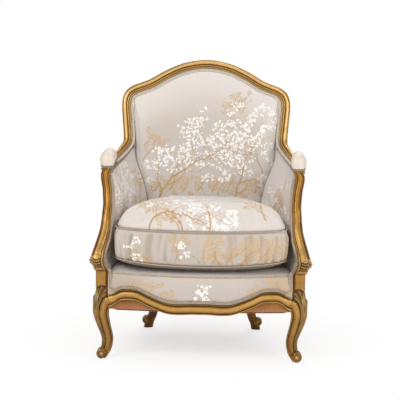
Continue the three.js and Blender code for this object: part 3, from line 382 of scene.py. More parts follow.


# The fold colour is the painted shade of creases and undersides
clothTones = {
    "ground": paint(229, 223, 219), "shade": paint(220, 213, 208), "bloom": paint(250, 248, 244),
    "stem": paint(184, 146, 98), "leaf": paint(200, 172, 134), "satin": paint(224, 211, 197),
    "warm": paint(176, 162, 148), "fold": paint(66, 52, 40),
}


# Each motif's cells per metre, then where its cells fade and how strong their hearts are
motifCells = (("leaf", (170, 170, 250), 0.08, 0.2, 0.45), ("bloom", (112, 112, 112), 0.12, 0.3, 0.12))
motif = {"grow": -0.13, "most": 0.56, "soft": 0.07, "full": 0.95, "stray": (0.009, 0.009, 0.009), "fray": 3.2}


# Silk with a woven pattern: a mark is a distance in millimetres, below zero inside its motif
def makeBrocade():
    finish, tree, surface, place = newFinish(
        "brocadeCloth", Roughness=0.58, Sheen_Weight=0.04, Sheen_Roughness=0.4, Specular_IOR_Level=0.2,
    )
    slub = noiseAt(tree, stretched(tree, place, (60, 60, 6)), 3, 3, 0.6)
    thread = noiseAt(tree, stretched(tree, place, (1500, 1500, 500)), 1, 1)
    stray = addNode(tree, "ShaderNodeTexNoise", {"Vector": place, "Scale": 120.0, "Detail": 2.0})
    strayed = addNode(tree, "ShaderNodeVectorMath", {
        0: stray.outputs["Color"], 1: motif["stray"], 2: place,
    }, operation="MULTIPLY_ADD")
    shaded = ranged(tree, slub, 0.3, 0.75, 0, 0.35)
    base = blendColours(tree, shaded, clothTones["ground"], clothTones["shade"])
    # The tone mark shifts the ground towards warm as painted shade and sheen
    base = blendColours(tree, readMark(tree, "tone"), base, clothTones["warm"])
    heights = []
    for mark, cells, low, high, heart in motifCells:
        spot = addNode(tree, "ShaderNodeTexVoronoi", {
            "Vector": stretched(tree, strayed.outputs[0], cells), "Scale": 1.0,
        }).outputs["Distance"]
        reach = calculate(tree, "MINIMUM", times(tree, readMark(tree, mark), motif["grow"]), motif["most"])
        inside = ranged(tree, calculate(tree, "SUBTRACT", spot, reach), motif["soft"], -motif["soft"])
        inside = times(tree, inside, calculate(tree, "GREATER_THAN", reach, 0.0))
        inside = times(tree, inside, ranged(tree, spot, low, high, heart, motif["full"]))
        base = blendColours(tree, inside, base, clothTones[mark])
        heights.append(inside)
    fray = times(tree, calculate(tree, "SUBTRACT", noiseAt(tree, place, 420, 2), 0.5), motif["fray"])
    stem = ranged(tree, plus(tree, readMark(tree, "stem"), fray), 0.8, -0.8, 0, 0.9)
    base = blendColours(tree, stem, base, clothTones["stem"])
    heights.append(stem)
    raised = plus(tree, plus(tree, heights[0], heights[1]), heights[2])
    relief = plus(tree, times(tree, raised, 0.8), times(tree, thread, 0.4))
    # Painted shade in creases and under things, towards the dark fold colour
    base = blendColours(tree, times(tree, readMark(tree, "paintedShade"), 0.9), base, clothTones["fold"])
    coloured(tree, surface, base, relief, 0.0003, 0.6)
    return finish


def makeSatin(name, light, dark):
    finish, tree, surface, place = newFinish(name, Roughness=0.5, Sheen_Weight=0.2, Sheen_Roughness=0.4)
    slub = noiseAt(tree, stretched(tree, place, (60, 60, 8)), 4, 3, 0.6)
    thread = noiseAt(tree, stretched(tree, place, (1500, 500, 1500)), 1, 1)
    base = blendColours(tree, ranged(tree, slub, 0.3, 0.75), light, dark)
    # Painted shade in creases and under things
    base = blendColours(tree, times(tree, readMark(tree, "paintedShade"), 0.92), base, paint(84, 70, 58))
    coloured(tree, surface, base, thread, 0.0002, 0.5)
    return finish


def makeWoven(name, light, dark, threads):
    finish, tree, surface, place = newFinish(name, Roughness=0.85, Sheen_Weight=0.1)
    inputs = {"Vector": place, "Scale": threads}
    waves = [addNode(tree, "ShaderNodeTexWave", inputs, bands_direction=axis) for axis in "XYZ"]
    waves = [wave.outputs["Fac"] for wave in waves]
    weave = times(tree, plus(tree, waves[0], waves[1]), waves[2])
    mottle = noiseAt(tree, place, 60, 3)
    base = blendColours(tree, times(tree, plus(tree, weave, mottle), 0.5, True), dark, light)
    # The hollow mark darkens the braid's recesses as painted shade
    base = blendColours(tree, times(tree, readMark(tree, "hollow"), 0.55), base, dark)
    coloured(tree, surface, base, weave, 0.0004, 0.6)
    return finish


def makeSteel():
    finish, tree, surface, place = newFinish("springSteel", Metallic=1.0)
    haze = noiseAt(tree, place, 200, 3)
    base = blendColours(tree, ranged(tree, haze, 0.3, 0.7), paint(120, 122, 126), paint(160, 162, 166))
    tree.links.new(base, surface.inputs["Base Color"])
    tree.links.new(ranged(tree, haze, 0.3, 0.7, 0.25, 0.5), surface.inputs["Roughness"])
    return finish


gilt = makeGilt("giltWood")
# Copies for the lower parts: less rubbed, and darker
giltRail = makeGilt("giltWoodRail", 0.5, 0.05)
giltLeg = makeGilt("giltWoodLeg", 0.45, 0.2)
giltDarkest = makeGilt("giltWoodDarkest", 0.3, 0.45)
beech = makeBeech()
brocade = makeBrocade()
satin = makeSatin("padSatin", clothTones["satin"], paint(212, 198, 183))
deckSatin = makeSatin("deckSatin", paint(222, 214, 208), paint(210, 200, 193))
piping = makeSatin("pipingSatin", paint(190, 172, 152), paint(160, 138, 114))
braid = makeWoven("gimpBraid", paint(220, 206, 186), paint(136, 116, 92), 260.0)
# A lighter copy of the braid for the back, lighter as painted light against the shade under the crest
paleBraid = makeWoven("backGimpBraid", paint(238, 230, 218), paint(196, 182, 162), 260.0)
fringe = makeWoven("armPadBraid", paint(214, 198, 176), paint(92, 74, 56), 260.0)
canvas = makeWoven("webCanvas", paint(186, 160, 122), paint(140, 112, 80), 160.0)
dustCloth = makeWoven("dustCloth", paint(200, 184, 162), paint(158, 140, 118), 200.0)
steel = makeSteel()
report("finishes made")

# The back's outer edge in the front view, from the right foot over the crest to the left foot
backEdgeShares = [
    (0.692, -0.012), (0.672, 0.022), (0.625, 0.062), (0.632, 0.126), (0.67, 0.199), (0.7125, 0.291),
    (0.774, 0.388), (0.839, 0.48), (0.888, 0.5475), (0.938, 0.6105), (0.956, 0.6686), (0.96, 0.717),
    (0.975, 0.774), (0.987, 0.824), (0.975, 0.8566), (0.938, 0.88), (0.866, 0.898), (0.7706, 0.91),
    (0.6636, 0.9244), (0.5046, 0.9545), (0.2966, 0.9845), (0.08, 0.9993), (0, 1),
]
shoulderIndex, padCornerIndex, crestIndex = 14, 15, 17
rightEdge = np.array([(x * chair["backHalf"], 0, z * chair["height"]) for x, z in backEdgeShares])
backEdge = np.vstack([rightEdge, rightEdge[-2::-1] * [-1, 1, 1]])
edgeSpans = len(backEdge) - 1


def backFace(x, z):
    bow = chair["hollow"] * (x / chair["backHalf"]) ** 2
    above = chair["slope"] * np.maximum(z - chair["bendHeight"], 0)
    below = chair["splay"] * (np.maximum(chair["bendHeight"] - z, 0) / chair["bendHeight"]) ** 2
    return chair["faceY"] - bow + above + below


# A point of the back: along its edge, in from the edge, and forward of its face
def onBack(index, inward, forward):
    index = np.atleast_1d(np.asarray(index, float))
    edge = curveAt(backEdge, index / edgeSpans)
    along = curveAlong(backEdge, index / edgeSpans)
    x = edge[:, 0] - along[:, 2] * inward
    z = edge[:, 2] + along[:, 0] * inward
    return stack(x, backFace(x, z) - forward, z)


riseIndices = np.linspace(0, shoulderIndex, 1401)
riseHeights = curveAt(backEdge, riseIndices / edgeSpans)[:, 2]


def edgeIndexAt(height):
    return np.interp(height, riseHeights, riseIndices)


# The show moulding: in from the edge, forward of the face, then how grey-green, how dark and how bright it
# is: dark as glaze in its grooves and as painted shade on faces turned away, bright as rubbed gilding with a
# painted highlight
mould = {"width": 38, "front": 14.5, "back": 20}
mouldSection = np.array([
    (3, -20, 0, 0.3, 0), (0.6, -18.5, 0, 0.2, 0), (0, -15, 0, 0, 0.1), (0, -9, 0, 0, 0.5), (0, -3, 0, 0, 0.9),
    (0, 2, 0, 0, 1), (0.4, 4.6, 0.1, 0, 1), (1.4, 6.2, 0.3, 0.1, 0.8), (2.8, 6.6, 0.4, 0.6, 0),
    (4.2, 7.4, 0.1, 0.6, 0), (5.4, 9.4, 0, 0.1, 0.3), (7.2, 12, 0, 0, 0.7), (9.4, 13.8, 0, 0, 1),
    (12, 14.5, 0, 0, 1), (14.4, 13.9, 0, 0, 0.8), (16.4, 12, 0, 0.1, 0.3), (18, 9.4, 0, 0.5, 0),
    (19.2, 7.6, 0, 0.9, 0), (20.2, 7.9, 0, 0.6, 0), (21.2, 9.5, 0, 0.1, 0.7), (22.4, 10, 0, 0, 1),
    (23.6, 9.2, 0.3, 0.1, 0.6), (25, 7.2, 0.5, 0.3, 0), (26.6, 6.2, 0.6, 0.5, 0), (28.2, 6.6, 0.7, 0.3, 0.1),
    (29.6, 8.4, 0.6, 0, 0.5), (31, 9, 0.6, 0, 0.8), (32.3, 8.2, 0.8, 0.1, 0.4), (33, 6, 0.8, 0.4, 0),
    (33, 1, 0.3, 0.8, 0), (38, 1, 0, 1, 0), (38, -8, 0, 0.5, 0), (38, -17, 0, 0.4, 0), (35.5, -20, 0, 0.3, 0),
])
# Height share, then width, front and back of the section, then how round it is
postRows = [
    (0, 0.93, 1.28, 0.98, 1), (0.016, 0.92, 1.25, 0.95, 1), (0.04, 0.87, 1.05, 0.9, 1),
    (0.08, 0.9, 1.1, 0.95, 1), (0.13, 1.04, 1.3, 1.1, 0.8), (0.165, 1.2, 1.4, 1.3, 0.4),
    (0.235, 1.2, 1.4, 1.3, 0.2), (0.3, 1, 1.1, 1.1, 0.1), (0.4, 1, 1, 1, 0), (1, 1, 1, 1, 0),
]
turns = np.arctan2(mouldSection[:, 1] + 3, mouldSection[:, 0] - mould["width"] / 2)
roundAcross = mould["width"] / 2 * (1 + np.sign(np.cos(turns)) * np.abs(np.cos(turns)) ** 0.8)
roundDeep = np.sin(turns) * np.where(np.sin(turns) > 0, mould["front"] * 1.05, mould["back"] * 0.92)


# The last columns of a section: how grey-green, how glazed and painted-shaded, and how rubbed and highlit
def sectionMarks(section):
    return {name: section[:, column] for column, name in ((2, "line"), (3, "hollow"), (4, "crown"))}


def memberRings(indices):
    edge = curveAt(backEdge, indices / edgeSpans)
    along = curveAlong(backEdge, indices / edgeSpans)
    width, front, back, roundness = rowsAt(postRows, edge[:, 2] / chair["height"])
    r = roundness[:, None]
    across = mix(mouldSection[:, 0], roundAcross, r) * width[:, None]
    deep = mix(mouldSection[:, 1], roundDeep, r)
    deep = deep * np.where(deep > 0, front[:, None], back[:, None])
    x = edge[:, 0:1] - along[:, 2:3] * across
    z = edge[:, 2:3] + along[:, 0:1] * across
    fade = 1 - smooth(r * 1.6)
    # The back feet darker towards the floor, through the hollow mark
    low = 0.97 * smooth((0.2 - edge[:, 2:3] / chair["height"]) / 0.07)
    marks = {
        "line": mouldSection[:, 2] * fade, "hollow": np.maximum(mouldSection[:, 3] * fade, low),
        "crown": mouldSection[:, 4] * fade,
    }
    return stack(x, backFace(x, z) - deep, z), marks


# A scroll seen end on: a drum whose end is cut by a spiral groove round a raised eye
def volute(centre, facing, start, radius, depth, winds=1.6, eye=0.32, handed=1):
    facing, start = unit(np.array(facing, float)), unit(np.array(start, float))
    other = np.cross(facing, start) * handed
    rings = evenly(14, 0.02, 1.0)
    around = evenly(48)[:-1] * 2 * math.pi
    r, a = np.meshgrid(rings, around, indexing="ij")
    pitch = (1 - eye) / winds
    groove = np.mod(r - eye - pitch * a / (2 * math.pi), pitch) / pitch
    ridge = np.sin(math.pi * groove) ** 0.7
    relief = np.where(r < eye, 0.22 * np.sqrt(np.maximum(0, 1 - (r / eye) ** 2)) + 0.02, 0.16 * ridge)
    relief = relief * smooth((1.02 - r) / 0.1)
    hollow = np.where(r < eye, smooth((r / eye - 0.75) / 0.25), 1 - smooth(np.sin(math.pi * groove) / 0.5))
    spokes = start * np.cos(a)[..., None] + other * np.sin(a)[..., None]
    face = np.asarray(centre) + spokes * (r * radius)[..., None] + facing * (relief * radius)[..., None]
    rim = []
    for bulge, back in ((1.03, 0.06), (1.05, 0.2), (1.05, 0.8), (1.03, 0.94), (0.96, 1.0)):
        rim.append(np.asarray(centre) + spokes[0] * radius * bulge - facing * depth * back)
    full = np.concatenate([face, np.array(rim)])
    extra = np.zeros((len(rim), len(around)))
    marks = {
        "hollow": np.concatenate([hollow, extra]),
        "line": np.concatenate([np.where(r < eye, 0.0, 0.35 * ridge), extra]),
        "worn": np.concatenate([np.where(r < eye, 0.75, 0.0), extra]),
    }
    return skin(full, marks=marks)


backScroll = {"radius": 15, "height": 31, "stand": -3, "depth": 30}
jointGap = 0.006


def makeBackFrame():
    footIndex = edgeIndexAt(backScroll["height"])
    low = edgeIndexAt(12)
    stations = np.concatenate([[edgeIndexAt(0)], np.linspace(low, crestIndex - jointGap, 190)])
    rings, marks = memberRings(stations)
    rings[0, :, 2] = 0
    rings[:, :, 2] = np.maximum(rings[:, :, 2], 0)
    shaft = skin(rings, marks=marks)
    edge = onBack(footIndex, -backScroll["stand"], 0)[0]
    centre = [edge[0], edge[1] - mould["front"], backScroll["height"]]
    scroll = volute(centre, (0, -1, 0), (-1, 0, 0.4), backScroll["radius"], backScroll["depth"], handed=-1)
    # The back scrolls darker all over, with duller eyes
    scroll["marks"]["hollow"] = np.maximum(scroll["marks"]["hollow"], 0.8)
    scroll["marks"]["worn"] = scroll["marks"]["worn"] * 0.25
    makePair("back_post_carved", together(shaft, scroll), gilt, "gilt", "back_post")
    stations = np.linspace(crestIndex + jointGap, edgeSpans - crestIndex - jointGap, 170)
    rings, marks = memberRings(stations)
    makePiece("crest_rail_carved", skin(rings, marks=marks), gilt, "gilt", ["crest_rail"])


makeBackFrame()
report("back frame carved")


# A square section with eased corners, walked round from the inner end of its front face
walkSteps = {"shown": 22, "plain": 8}


def squareWalk():
    spots, normals, faces, across = [], [], [], []
    ways = [(0, -1), (1, 0), (0, 1), (-1, 0)]
    for number, normal in enumerate(ways):
        turned = ways[(number + 1) % 4]
        for s in evenly(walkSteps["shown" if number < 2 else "plain"], -1, 1):
            spots.append(np.array(normal) + s * np.array(turned))
            normals.append(normal)
            faces.append(number)
            across.append(s)
        for share in (0.33, 0.67):
            spots.append(np.array(normal) + np.array(turned))
            normals.append(unit(mix(np.array(normal, float), np.array(turned, float), share)))
            faces.append(4 + number)
            across.append(0.0)
    return np.array(spots, float), np.array(normals, float), np.array(faces), np.array(across)


# How far points of a plane lie from an open line of points
def distanceTo(line, a, b):
    best = np.full(np.broadcast(a, b).shape, 1e3)
    line = np.asarray(line, float)
    for p, q in zip(line[:-1], line[1:]):
        d = q - p
        t = np.clip(((a - p[0]) * d[0] + (b - p[1]) * d[1]) / (d @ d), 0, 1)
        best = np.minimum(best, np.hypot(a - p[0] - t * d[0], b - p[1] - t * d[1]))
    return best


legs = {
    "half": 25.5, "set": 19, "corner": 8, "footRadius": 18, "footSink": 1, "blockBottom": 244, "trim": 2.2,
}
# Height share, set of the axis out to the corner, half width
legRows = [
    (0, -0.12, 0.5), (0.03, -0.3, 0.6), (0.06, -0.55, 0.68), (0.1, -0.8, 0.7), (0.17, -1, 0.7),
    (0.225, -1, 0.715), (0.29, -0.76, 0.775), (0.36, -0.42, 0.83), (0.43, -0.14, 0.9), (0.5, 0.08, 0.95),
    (0.56, 0.08, 1.0), (0.62, 0.05, 0.98), (0.7, 0, 0.9), (0.8, 0, 0.86), (1, 0, 0.86),
]
# Lines of the knee's carving: out towards the corner of the leg, and height
kneeLines = [
    [(-22, 238), (-8, 226), (5, 205), (13, 184), (18, 160)],
    [(0, 244), (9, 222), (15, 195), (19, 164)],
    [(22, 244), (20.5, 215), (20, 190), (20, 160)],
]
blockLine = [(-15.5, 300), (-15.5, 236), (-21, 222)]


def kneeRelief(outward, height):
    veins = np.zeros(np.broadcast(outward, height).shape)
    for line in kneeLines:
        veins = np.maximum(veins, bell(distanceTo(line, outward, height), 2.1))
    fan = smooth((height - 160) / 20) * smooth((246 - height) / 4)
    scallop = height - legs["blockBottom"] - 3.5 * np.cos(outward / 5.5)
    block = smooth(scallop / 2.5)
    lip = bell(scallop - 1.5, 2)
    inner = distanceTo(blockLine, outward, height)
    strip = bell(inner, 1.7)
    groove = bell(inner - 3.8, 1.2)
    veins = veins * (1 - block)
    relief = 2.2 * veins + 2.4 * block + 1.4 * lip - 1.2 * fan * (1 - block) * (1 - veins) + 1.4 * strip
    line = np.clip(0.9 * veins + 0.6 * lip + 0.8 * strip, 0, 1)
    # Painted shadow under the block's scalloped lower edge, in the hollow mark
    under = bell(scallop + 2.5, 2)
    hollow = np.clip(0.75 * fan * (1 - block) * (1 - veins) + under + 0.8 * groove, 0, 1)
    return relief, line, hollow, 0.5 * block * (1 - groove) + 0.5 * veins


def carvedSquare(centres, halfX, halfY, corner, reliefAt):
    spots, normals, faces, across = squareWalk()
    halves = stack(halfX, halfY)[:, None, :] - corner
    flat = spots[None] * halves + normals[None] * corner
    outward = np.where(faces == 0, across * halves[..., 0], np.where(faces == 1, -across * halves[..., 1], 0))
    outward = np.where(faces == 4, halves[..., 0] + corner, outward)
    relief, line, hollow, crown = reliefAt(outward, np.broadcast_to(centres[:, 2:3], outward.shape))
    shown = np.isin(faces, (0, 1, 4))
    relief = relief * shown
    flat = flat + normals[None] * relief[..., None]
    rings = centres[:, None, :] + np.concatenate([flat, np.zeros((*flat.shape[:2], 1))], -1)
    return rings, {"line": line * shown, "hollow": hollow * shown, "crown": crown * shown}


# The apron's moulding: up from its lower edge, forward of the face, then its marks
apron = {"height": 159, "rise": 43, "mould": 38, "ledge": 12, "bow": 30, "faceSet": 20}
# Its first and last rows, under and behind the moulding, are darkened as painted shade
apronSection = np.array([
    (0, -12, 0, 0.5, 0), (0, -1.5, 0, 0.2, 0), (0.5, 0.6, 0.6, 0, 0.4), (1.8, 1.5, 0.8, 0, 0.8),
    (3.2, 1, 0.5, 0.3, 0.3), (4.4, -0.8, 0.2, 1, 0), (5.4, -0.6, 0, 1, 0), (7, 1.6, 0, 0.5, 0),
    (9.5, 4.2, 0, 0.1, 0.1), (12.5, 6.3, 0, 0, 0.5), (16, 7.6, 0, 0, 0.9), (19.5, 7.8, 0, 0, 1),
    (23, 6.8, 0, 0, 0.6), (26, 4.4, 0, 0.2, 0.1), (28.4, 1.6, 0, 0.7, 0),
    (29.8, -0.6, 0.2, 1, 0), (30.8, -0.4, 0.5, 0.9, 0), (31.8, 1.3, 0.9, 0, 0.4), (33, 2, 1, 0, 0.6),
    (34.2, 1.2, 1, 0.1, 0.2), (35, -0.4, 0.6, 0.9, 0), (36, 0.7, 1, 0, 0.3), (37.2, 0.6, 0.8, 0.1, 0.2),
    (38, -1.2, 0.4, 0.8, 0), (38, -12, 0, 1, 0),
])
apronShares = [
    (0, 0), (0.08, 0), (0.23, -0.05), (0.336, 0.02), (0.438, 0.28), (0.54, 0.6), (0.633, 0.93), (0.735, 1),
    (0.809, 0.93), (0.889, 0.5), (0.94, 0.32),
]
apronHalf = np.array([
    (x * chair["legX"], 0, apron["height"] + rise * apron["rise"]) for x, rise in apronShares
])
apronEdge = np.vstack([apronHalf[:0:-1] * [-1, 1, 1], apronHalf])


def frontFace(x):
    return chair["legY"] - apron["faceSet"] - apron["bow"] * (1 - (x / chair["legX"]) ** 2)


# The moulding's run down a leg: out from the leg's corner line, height, width share
legRun = [
    (-23.0, 200, 1.36), (-14, 195, 1.26), (-7.5, 184, 1.14), (-3.6, 167, 1.06), (-3.4, 148, 1.0),
    (-4.0, 122, 0.95), (-2.8, 95, 0.9), (-0.4, 66, 0.82), (0.6, 44, 0.75), (1.5, 26, 0.66), (2.6, 14, 0.54),
]


# The moulding of the rails widens towards the legs
def mouldFlare(near):
    return apron["mould"] * (1 + 0.36 * smooth(near))


def frontFlare(x):
    return mouldFlare((np.abs(x) - 262) / 42)


def legAxis(height):
    setOut, half = rowsAt(legRows, height / chair["legTop"])
    return smoothedRun(setOut) * legs["set"], smoothedRun(half) * legs["half"] - legs["trim"]


def makeLegRun():
    run = np.array([(o, h, w * 20) for o, h, w in legRun])
    steps = curveAt(run, evenly(110))
    heights = steps[:, 1]
    order = np.argsort(heights)
    setOut, half = legAxis(heights[order])
    setOut, half = setOut[np.argsort(order)], half[np.argsort(order)]
    centre = stack(chair["legX"] + steps[:, 0] + setOut * smooth((185 - heights) / 30), heights)
    along = unit(np.gradient(centre, axis=0))
    lower = stack(along[:, 1], -along[:, 0])
    width = steps[:, 2] / 20
    u = (apron["mould"] / 2 - apronSection[:, 0])[None] * width[:, None]
    x = centre[:, 0:1] + lower[:, 0:1] * u
    z = np.maximum(centre[:, 1:2] + lower[:, 1:2] * u, 3)
    atRail = frontFace(np.array([chair["legX"] - 22.6]))[0]
    face = mix(chair["legY"] - setOut - half, atRail, smooth((heights - 150) / 38))
    forward = apronSection[:, 1][None] * width[:, None]
    sink = 6 * smooth((26 - heights) / 16)
    y = face[:, None] - forward + sink[:, None]
    marks = sectionMarks(apronSection)
    # The moulding darker towards the foot
    marks["hollow"] = np.maximum(marks["hollow"], 0.1 + 0.35 * smooth((130 - heights) / 110)[:, None])
    return skin(stack(x, y, z), marks=marks)


# The same run on the leg's side, mirrored over the leg's corner line
def onLegSide(shape):
    points = shape["points"]
    x, y, z = points.T
    turned = stack(chair["legX"] - (y - chair["legY"]), chair["legY"] - (x - chair["legX"]), z)
    return part(turned, [face[::-1] for face in shape["faces"]], dict(shape["marks"]))


def makeFrontLegs():
    shares = np.concatenate([evenly(24, 0, 0.2), evenly(110, 0.2, 1)[1:]])
    setOut, half = legAxis(shares * chair["legTop"])
    centres = stack(chair["legX"] + setOut, chair["legY"] - setOut, shares * chair["legTop"])
    rings, marks = carvedSquare(centres, half, half, legs["corner"], kneeRelief)
    rings[:, :, 2] = np.clip(rings[:, :, 2], 0, chair["legTop"])
    eyeX = chair["legX"] - legs["set"] / 2 + legs["footRadius"] / 2
    eyeY = chair["legY"] - legs["half"] * 0.95
    scroll = volute(
        [eyeX, eyeY, legs["footRadius"] - legs["footSink"] + 1.6], (0, -1, 0), (-1, 0, -0.6),
        legs["footRadius"] - 1.4, legs["half"] * 1.75, winds=1.5, handed=-1,
    )
    run = makeLegRun()
    # The scroll darker outside its eye
    scroll["marks"]["hollow"] = np.maximum(scroll["marks"]["hollow"], 0.4 * (scroll["marks"]["worn"] < 0.5))
    shape = together(skin(rings, marks=marks), run, onLegSide(run), scroll)
    makePair("front_leg_carved", shape, giltLeg, "gilt", "front_leg")


# Evens out the corners of a run of values read from a table
def smoothedRun(values, reach=5):
    padded = np.pad(values, reach, mode="reflect", reflect_type="odd")
    weights = np.hanning(2 * reach + 3)[1:-1]
    return np.convolve(padded, weights / weights.sum(), mode="valid")


makeFrontLegs()

# Arm supports: rise, bow out, sweep back, width and depth
stump = {"bow": 16, "sweep": 110, "half": 18, "halfDepth": 17, "top": 625, "corner": 5, "gap": 0.3}
stumpRows = [
    (0, 0.3, -0.02, 1.08, 1.1), (0.04, 0.6, -0.1, 1.1, 1.2), (0.118, 1, -0.16, 1.13, 1.4),
    (0.19, 0.88, -0.12, 1.06, 1.25), (0.27, 0.44, 0.03, 1, 1), (0.35, 0, 0.18, 1, 1),
    (0.42, -0.38, 0.32, 1, 1), (0.5, -0.56, 0.46, 1, 1), (0.58, -0.62, 0.57, 1, 1),
    (0.655, -0.69, 0.68, 1, 1), (0.73, -0.53, 0.78, 1, 1), (0.81, -0.38, 0.86, 1, 1),
    (0.89, 0, 0.93, 1, 1), (1, 0.25, 1, 1.02, 1),
]


def stumpCentre(rise):
    bow, sweep = rowsAt(stumpRows, rise)[:2]
    bottom = chair["legTop"] + stump["gap"]
    return stack(
        chair["legX"] + bow * stump["bow"], chair["legY"] + sweep * stump["sweep"],
        mix(bottom, stump["top"], np.asarray(rise, float)),
    )


knuckle = {"height": 332, "rise": 8, "radius": 21, "collar": 301, "side": 15.5}


# A bead or torus of a given half width, as a share of its height
def roundTop(away, half):
    return np.sqrt(np.maximum(0, 1 - (away / half) ** 2))


def stumpRelief(outward, height):
    high = smooth((height - 400) / 120)
    lower = smooth((knuckle["height"] + 22 - height) / 8)
    bulk = mix(4.6, 3.8, high)
    torus = bulk * roundTop(outward - mix(5.5, 0.4, high), mix(9.0, 7.0, high))
    outer = 2.8 * high * roundTop(outward - 10.8, 2.9)
    bead = 2.4 * (1 - high) * roundTop(outward + 5.5, 2.6)
    line = 2.0 * roundTop(outward + mix(12.5, 10.8, high), 2.3)
    hollow = np.clip(1 - (torus + outer + bead + line) / 1.5, 0, 1)
    crown = (torus / bulk) ** 2 * mix(1.0, 0.15, high) + 1.4 * (outer > 1.3) + 1.4 * (bead > 1.2)
    strip = smooth((-outward - 7.5) / 3)
    keep = np.maximum(1 - lower, strip)
    away = np.hypot(outward - 4, height - knuckle["height"])
    roll = knuckle["rise"] * roundTop(away, knuckle["radius"]) * (1 - strip)
    curl = np.hypot(outward - 4, height - knuckle["height"] - 13)
    below = smooth((knuckle["height"] + 10 - height) / 6) * (1 - strip)
    cuts = np.zeros_like(torus)
    for reach in (12.0, 20.5, 29.0):
        cuts = np.maximum(cuts, bell(curl - reach, 1.9) * below)
    lips = np.zeros_like(torus)
    for reach in (16.0, 25.0):
        lips = np.maximum(lips, bell(curl - reach, 2.4) * below)
    collar = bell(height - knuckle["collar"], 3.6)
    neck = bell(height - knuckle["collar"] - 7.5, 1.8)
    relief = (torus + outer + bead + line) * keep + roll + 2.6 * lips - 3.0 * cuts + 3.0 * collar
    relief = relief * np.where(outward > knuckle["side"], mix(1, 0.25, lower), 1)
    green = np.clip((line > 0.7) * keep + 0.7 * lips + 0.5 * collar, 0, 1)
    shade = np.clip(hollow * keep + cuts * 1.3 + neck, 0, 1)
    rubbedAndHighlit = np.clip(crown * keep + 1.2 * (roll > 3) * (1 - cuts) + collar, 0, 1.6)
    return relief, green, shade, rubbedAndHighlit


# How the head of the support leans in under the pad, and how slender its middle is
stumpHead = {"from": 602, "over": 34, "lean": 21, "thin": 0.1, "longer": 11, "growFrom": 590, "growOver": 35}
stumpWaist = {"from": 400, "over": 80, "thin": 0.15, "out": 2.5, "foot": 325, "footOver": 20}


def makeStumps():
    rises = evenly(150)
    width, depth = rowsAt(stumpRows, rises)[2:]
    centres = stumpCentre(rises)
    for column in (0, 1):
        centres[:, column] = smoothedRun(centres[:, column])
    head = smooth((centres[:, 2] - stumpHead["from"]) / stumpHead["over"])
    slim = smooth((centres[:, 2] - stumpWaist["from"]) / stumpWaist["over"])
    grown = smooth((centres[:, 2] - stumpHead["growFrom"]) / stumpHead["growOver"])
    centres[:, 2] += stumpHead["longer"] * grown
    foot = smooth((centres[:, 2] - stumpWaist["foot"]) / stumpWaist["footOver"]) * (1 - slim)
    centres[:, 0] += stumpWaist["out"] * slim - stumpHead["lean"] * head - stumpWaist["out"] * foot
    width = width * (1 - stumpWaist["thin"] * slim) * (1 - stumpHead["thin"] * head)
    halfX, halfY = smoothedRun(width) * stump["half"] - 1, depth * stump["halfDepth"] - 1
    rings, marks = carvedSquare(centres, halfX, halfY, stump["corner"], stumpRelief)
    makePair("arm_stump_carved", skin(rings, marks=marks), giltLeg, "gilt", "arm_stump")


makeStumps()

# Arm rails: a path from the nose over the arm support to the middle of the stile
arm = {"backHeight": 704, "half": 20, "halfHeight": 15, "nose": 27, "bow": 23}
armRows = [
    (0.135, 0.31, 0.05), (0.34, 0.78, 0.13), (0.555, 1, 0.24), (0.75, 0.83, 0.45), (0.886, 0.48, 0.7),
    (1, 0, 1),
]
armStart = stumpCentre(1.0).reshape(3)
armBackIndex = edgeIndexAt(arm["backHeight"])
armEnd = onBack(armBackIndex, mould["width"] / 2, 0)[0]
armPath = np.array([armStart - [0, arm["nose"], 0], armStart] + [
    (
        mix(armStart[0], armEnd[0], back) + bow * arm["bow"], mix(armStart[1], armEnd[1], back),
        mix(armStart[2], arm["backHeight"], rise),
    ) for back, bow, rise in armRows
])
armSpans = len(armPath) - 1
# The rail carries the moulding of the back on its top, and turns up into the stile at its end
topSection = mouldSection[(mouldSection[:, 1] > 0) & (mouldSection[:, 1] < 20)] * [-1, 1, 1, 1, 1]
topSection[:, 0] += mould["width"] / 2
# The rail's underside rows are darkened as painted shade through the hollow column
armSection = np.vstack([topSection, [
    (-19, -3, 0, 0.1, 0), (-16.6, -8, 0, 0.6, 0), (-14.4, -9.6, 0.3, 1, 0), (-13.8, -11.6, 1, 0.2, 0.2),
    (-11.5, -13.8, 1, 0, 0), (-7, -15, 0, 0.3, 0), (0, -15, 0, 0.3, 0), (7, -15, 0, 0.3, 0),
    (11.5, -13.8, 1, 0, 0), (13.8, -11.6, 1, 0.2, 0.2), (14.4, -9.6, 0.3, 1, 0), (16.6, -8, 0, 0.6, 0),
    (19, -3, 0, 0.2, 0),
]])
restSpan = {"endY": 60, "drop": 11}
turnUp = {"low": 710, "before": 10, "middle": 746, "high": 790, "proud": 0.7}


def stilePoint(height):
    return onBack(edgeIndexAt(height), mould["width"] / 2, 0)[0]


railPath = np.vstack([
    armPath[:-1], stilePoint(turnUp["low"]) - [0, turnUp["before"], 0], stilePoint(turnUp["middle"]),
    stilePoint(turnUp["high"]),
])


# Beside the rail's path, level across the chair also where the path turns up
def besideRail(shares, side, up):
    along = curveAlong(railPath, shares)
    across = unit(np.array([1.0, 0, 0]) - along * along[:, 0:1])
    over = np.cross(across, along)
    return curveAt(railPath, shares) + across * np.reshape(side, (-1, 1)) + over * np.reshape(up, (-1, 1))


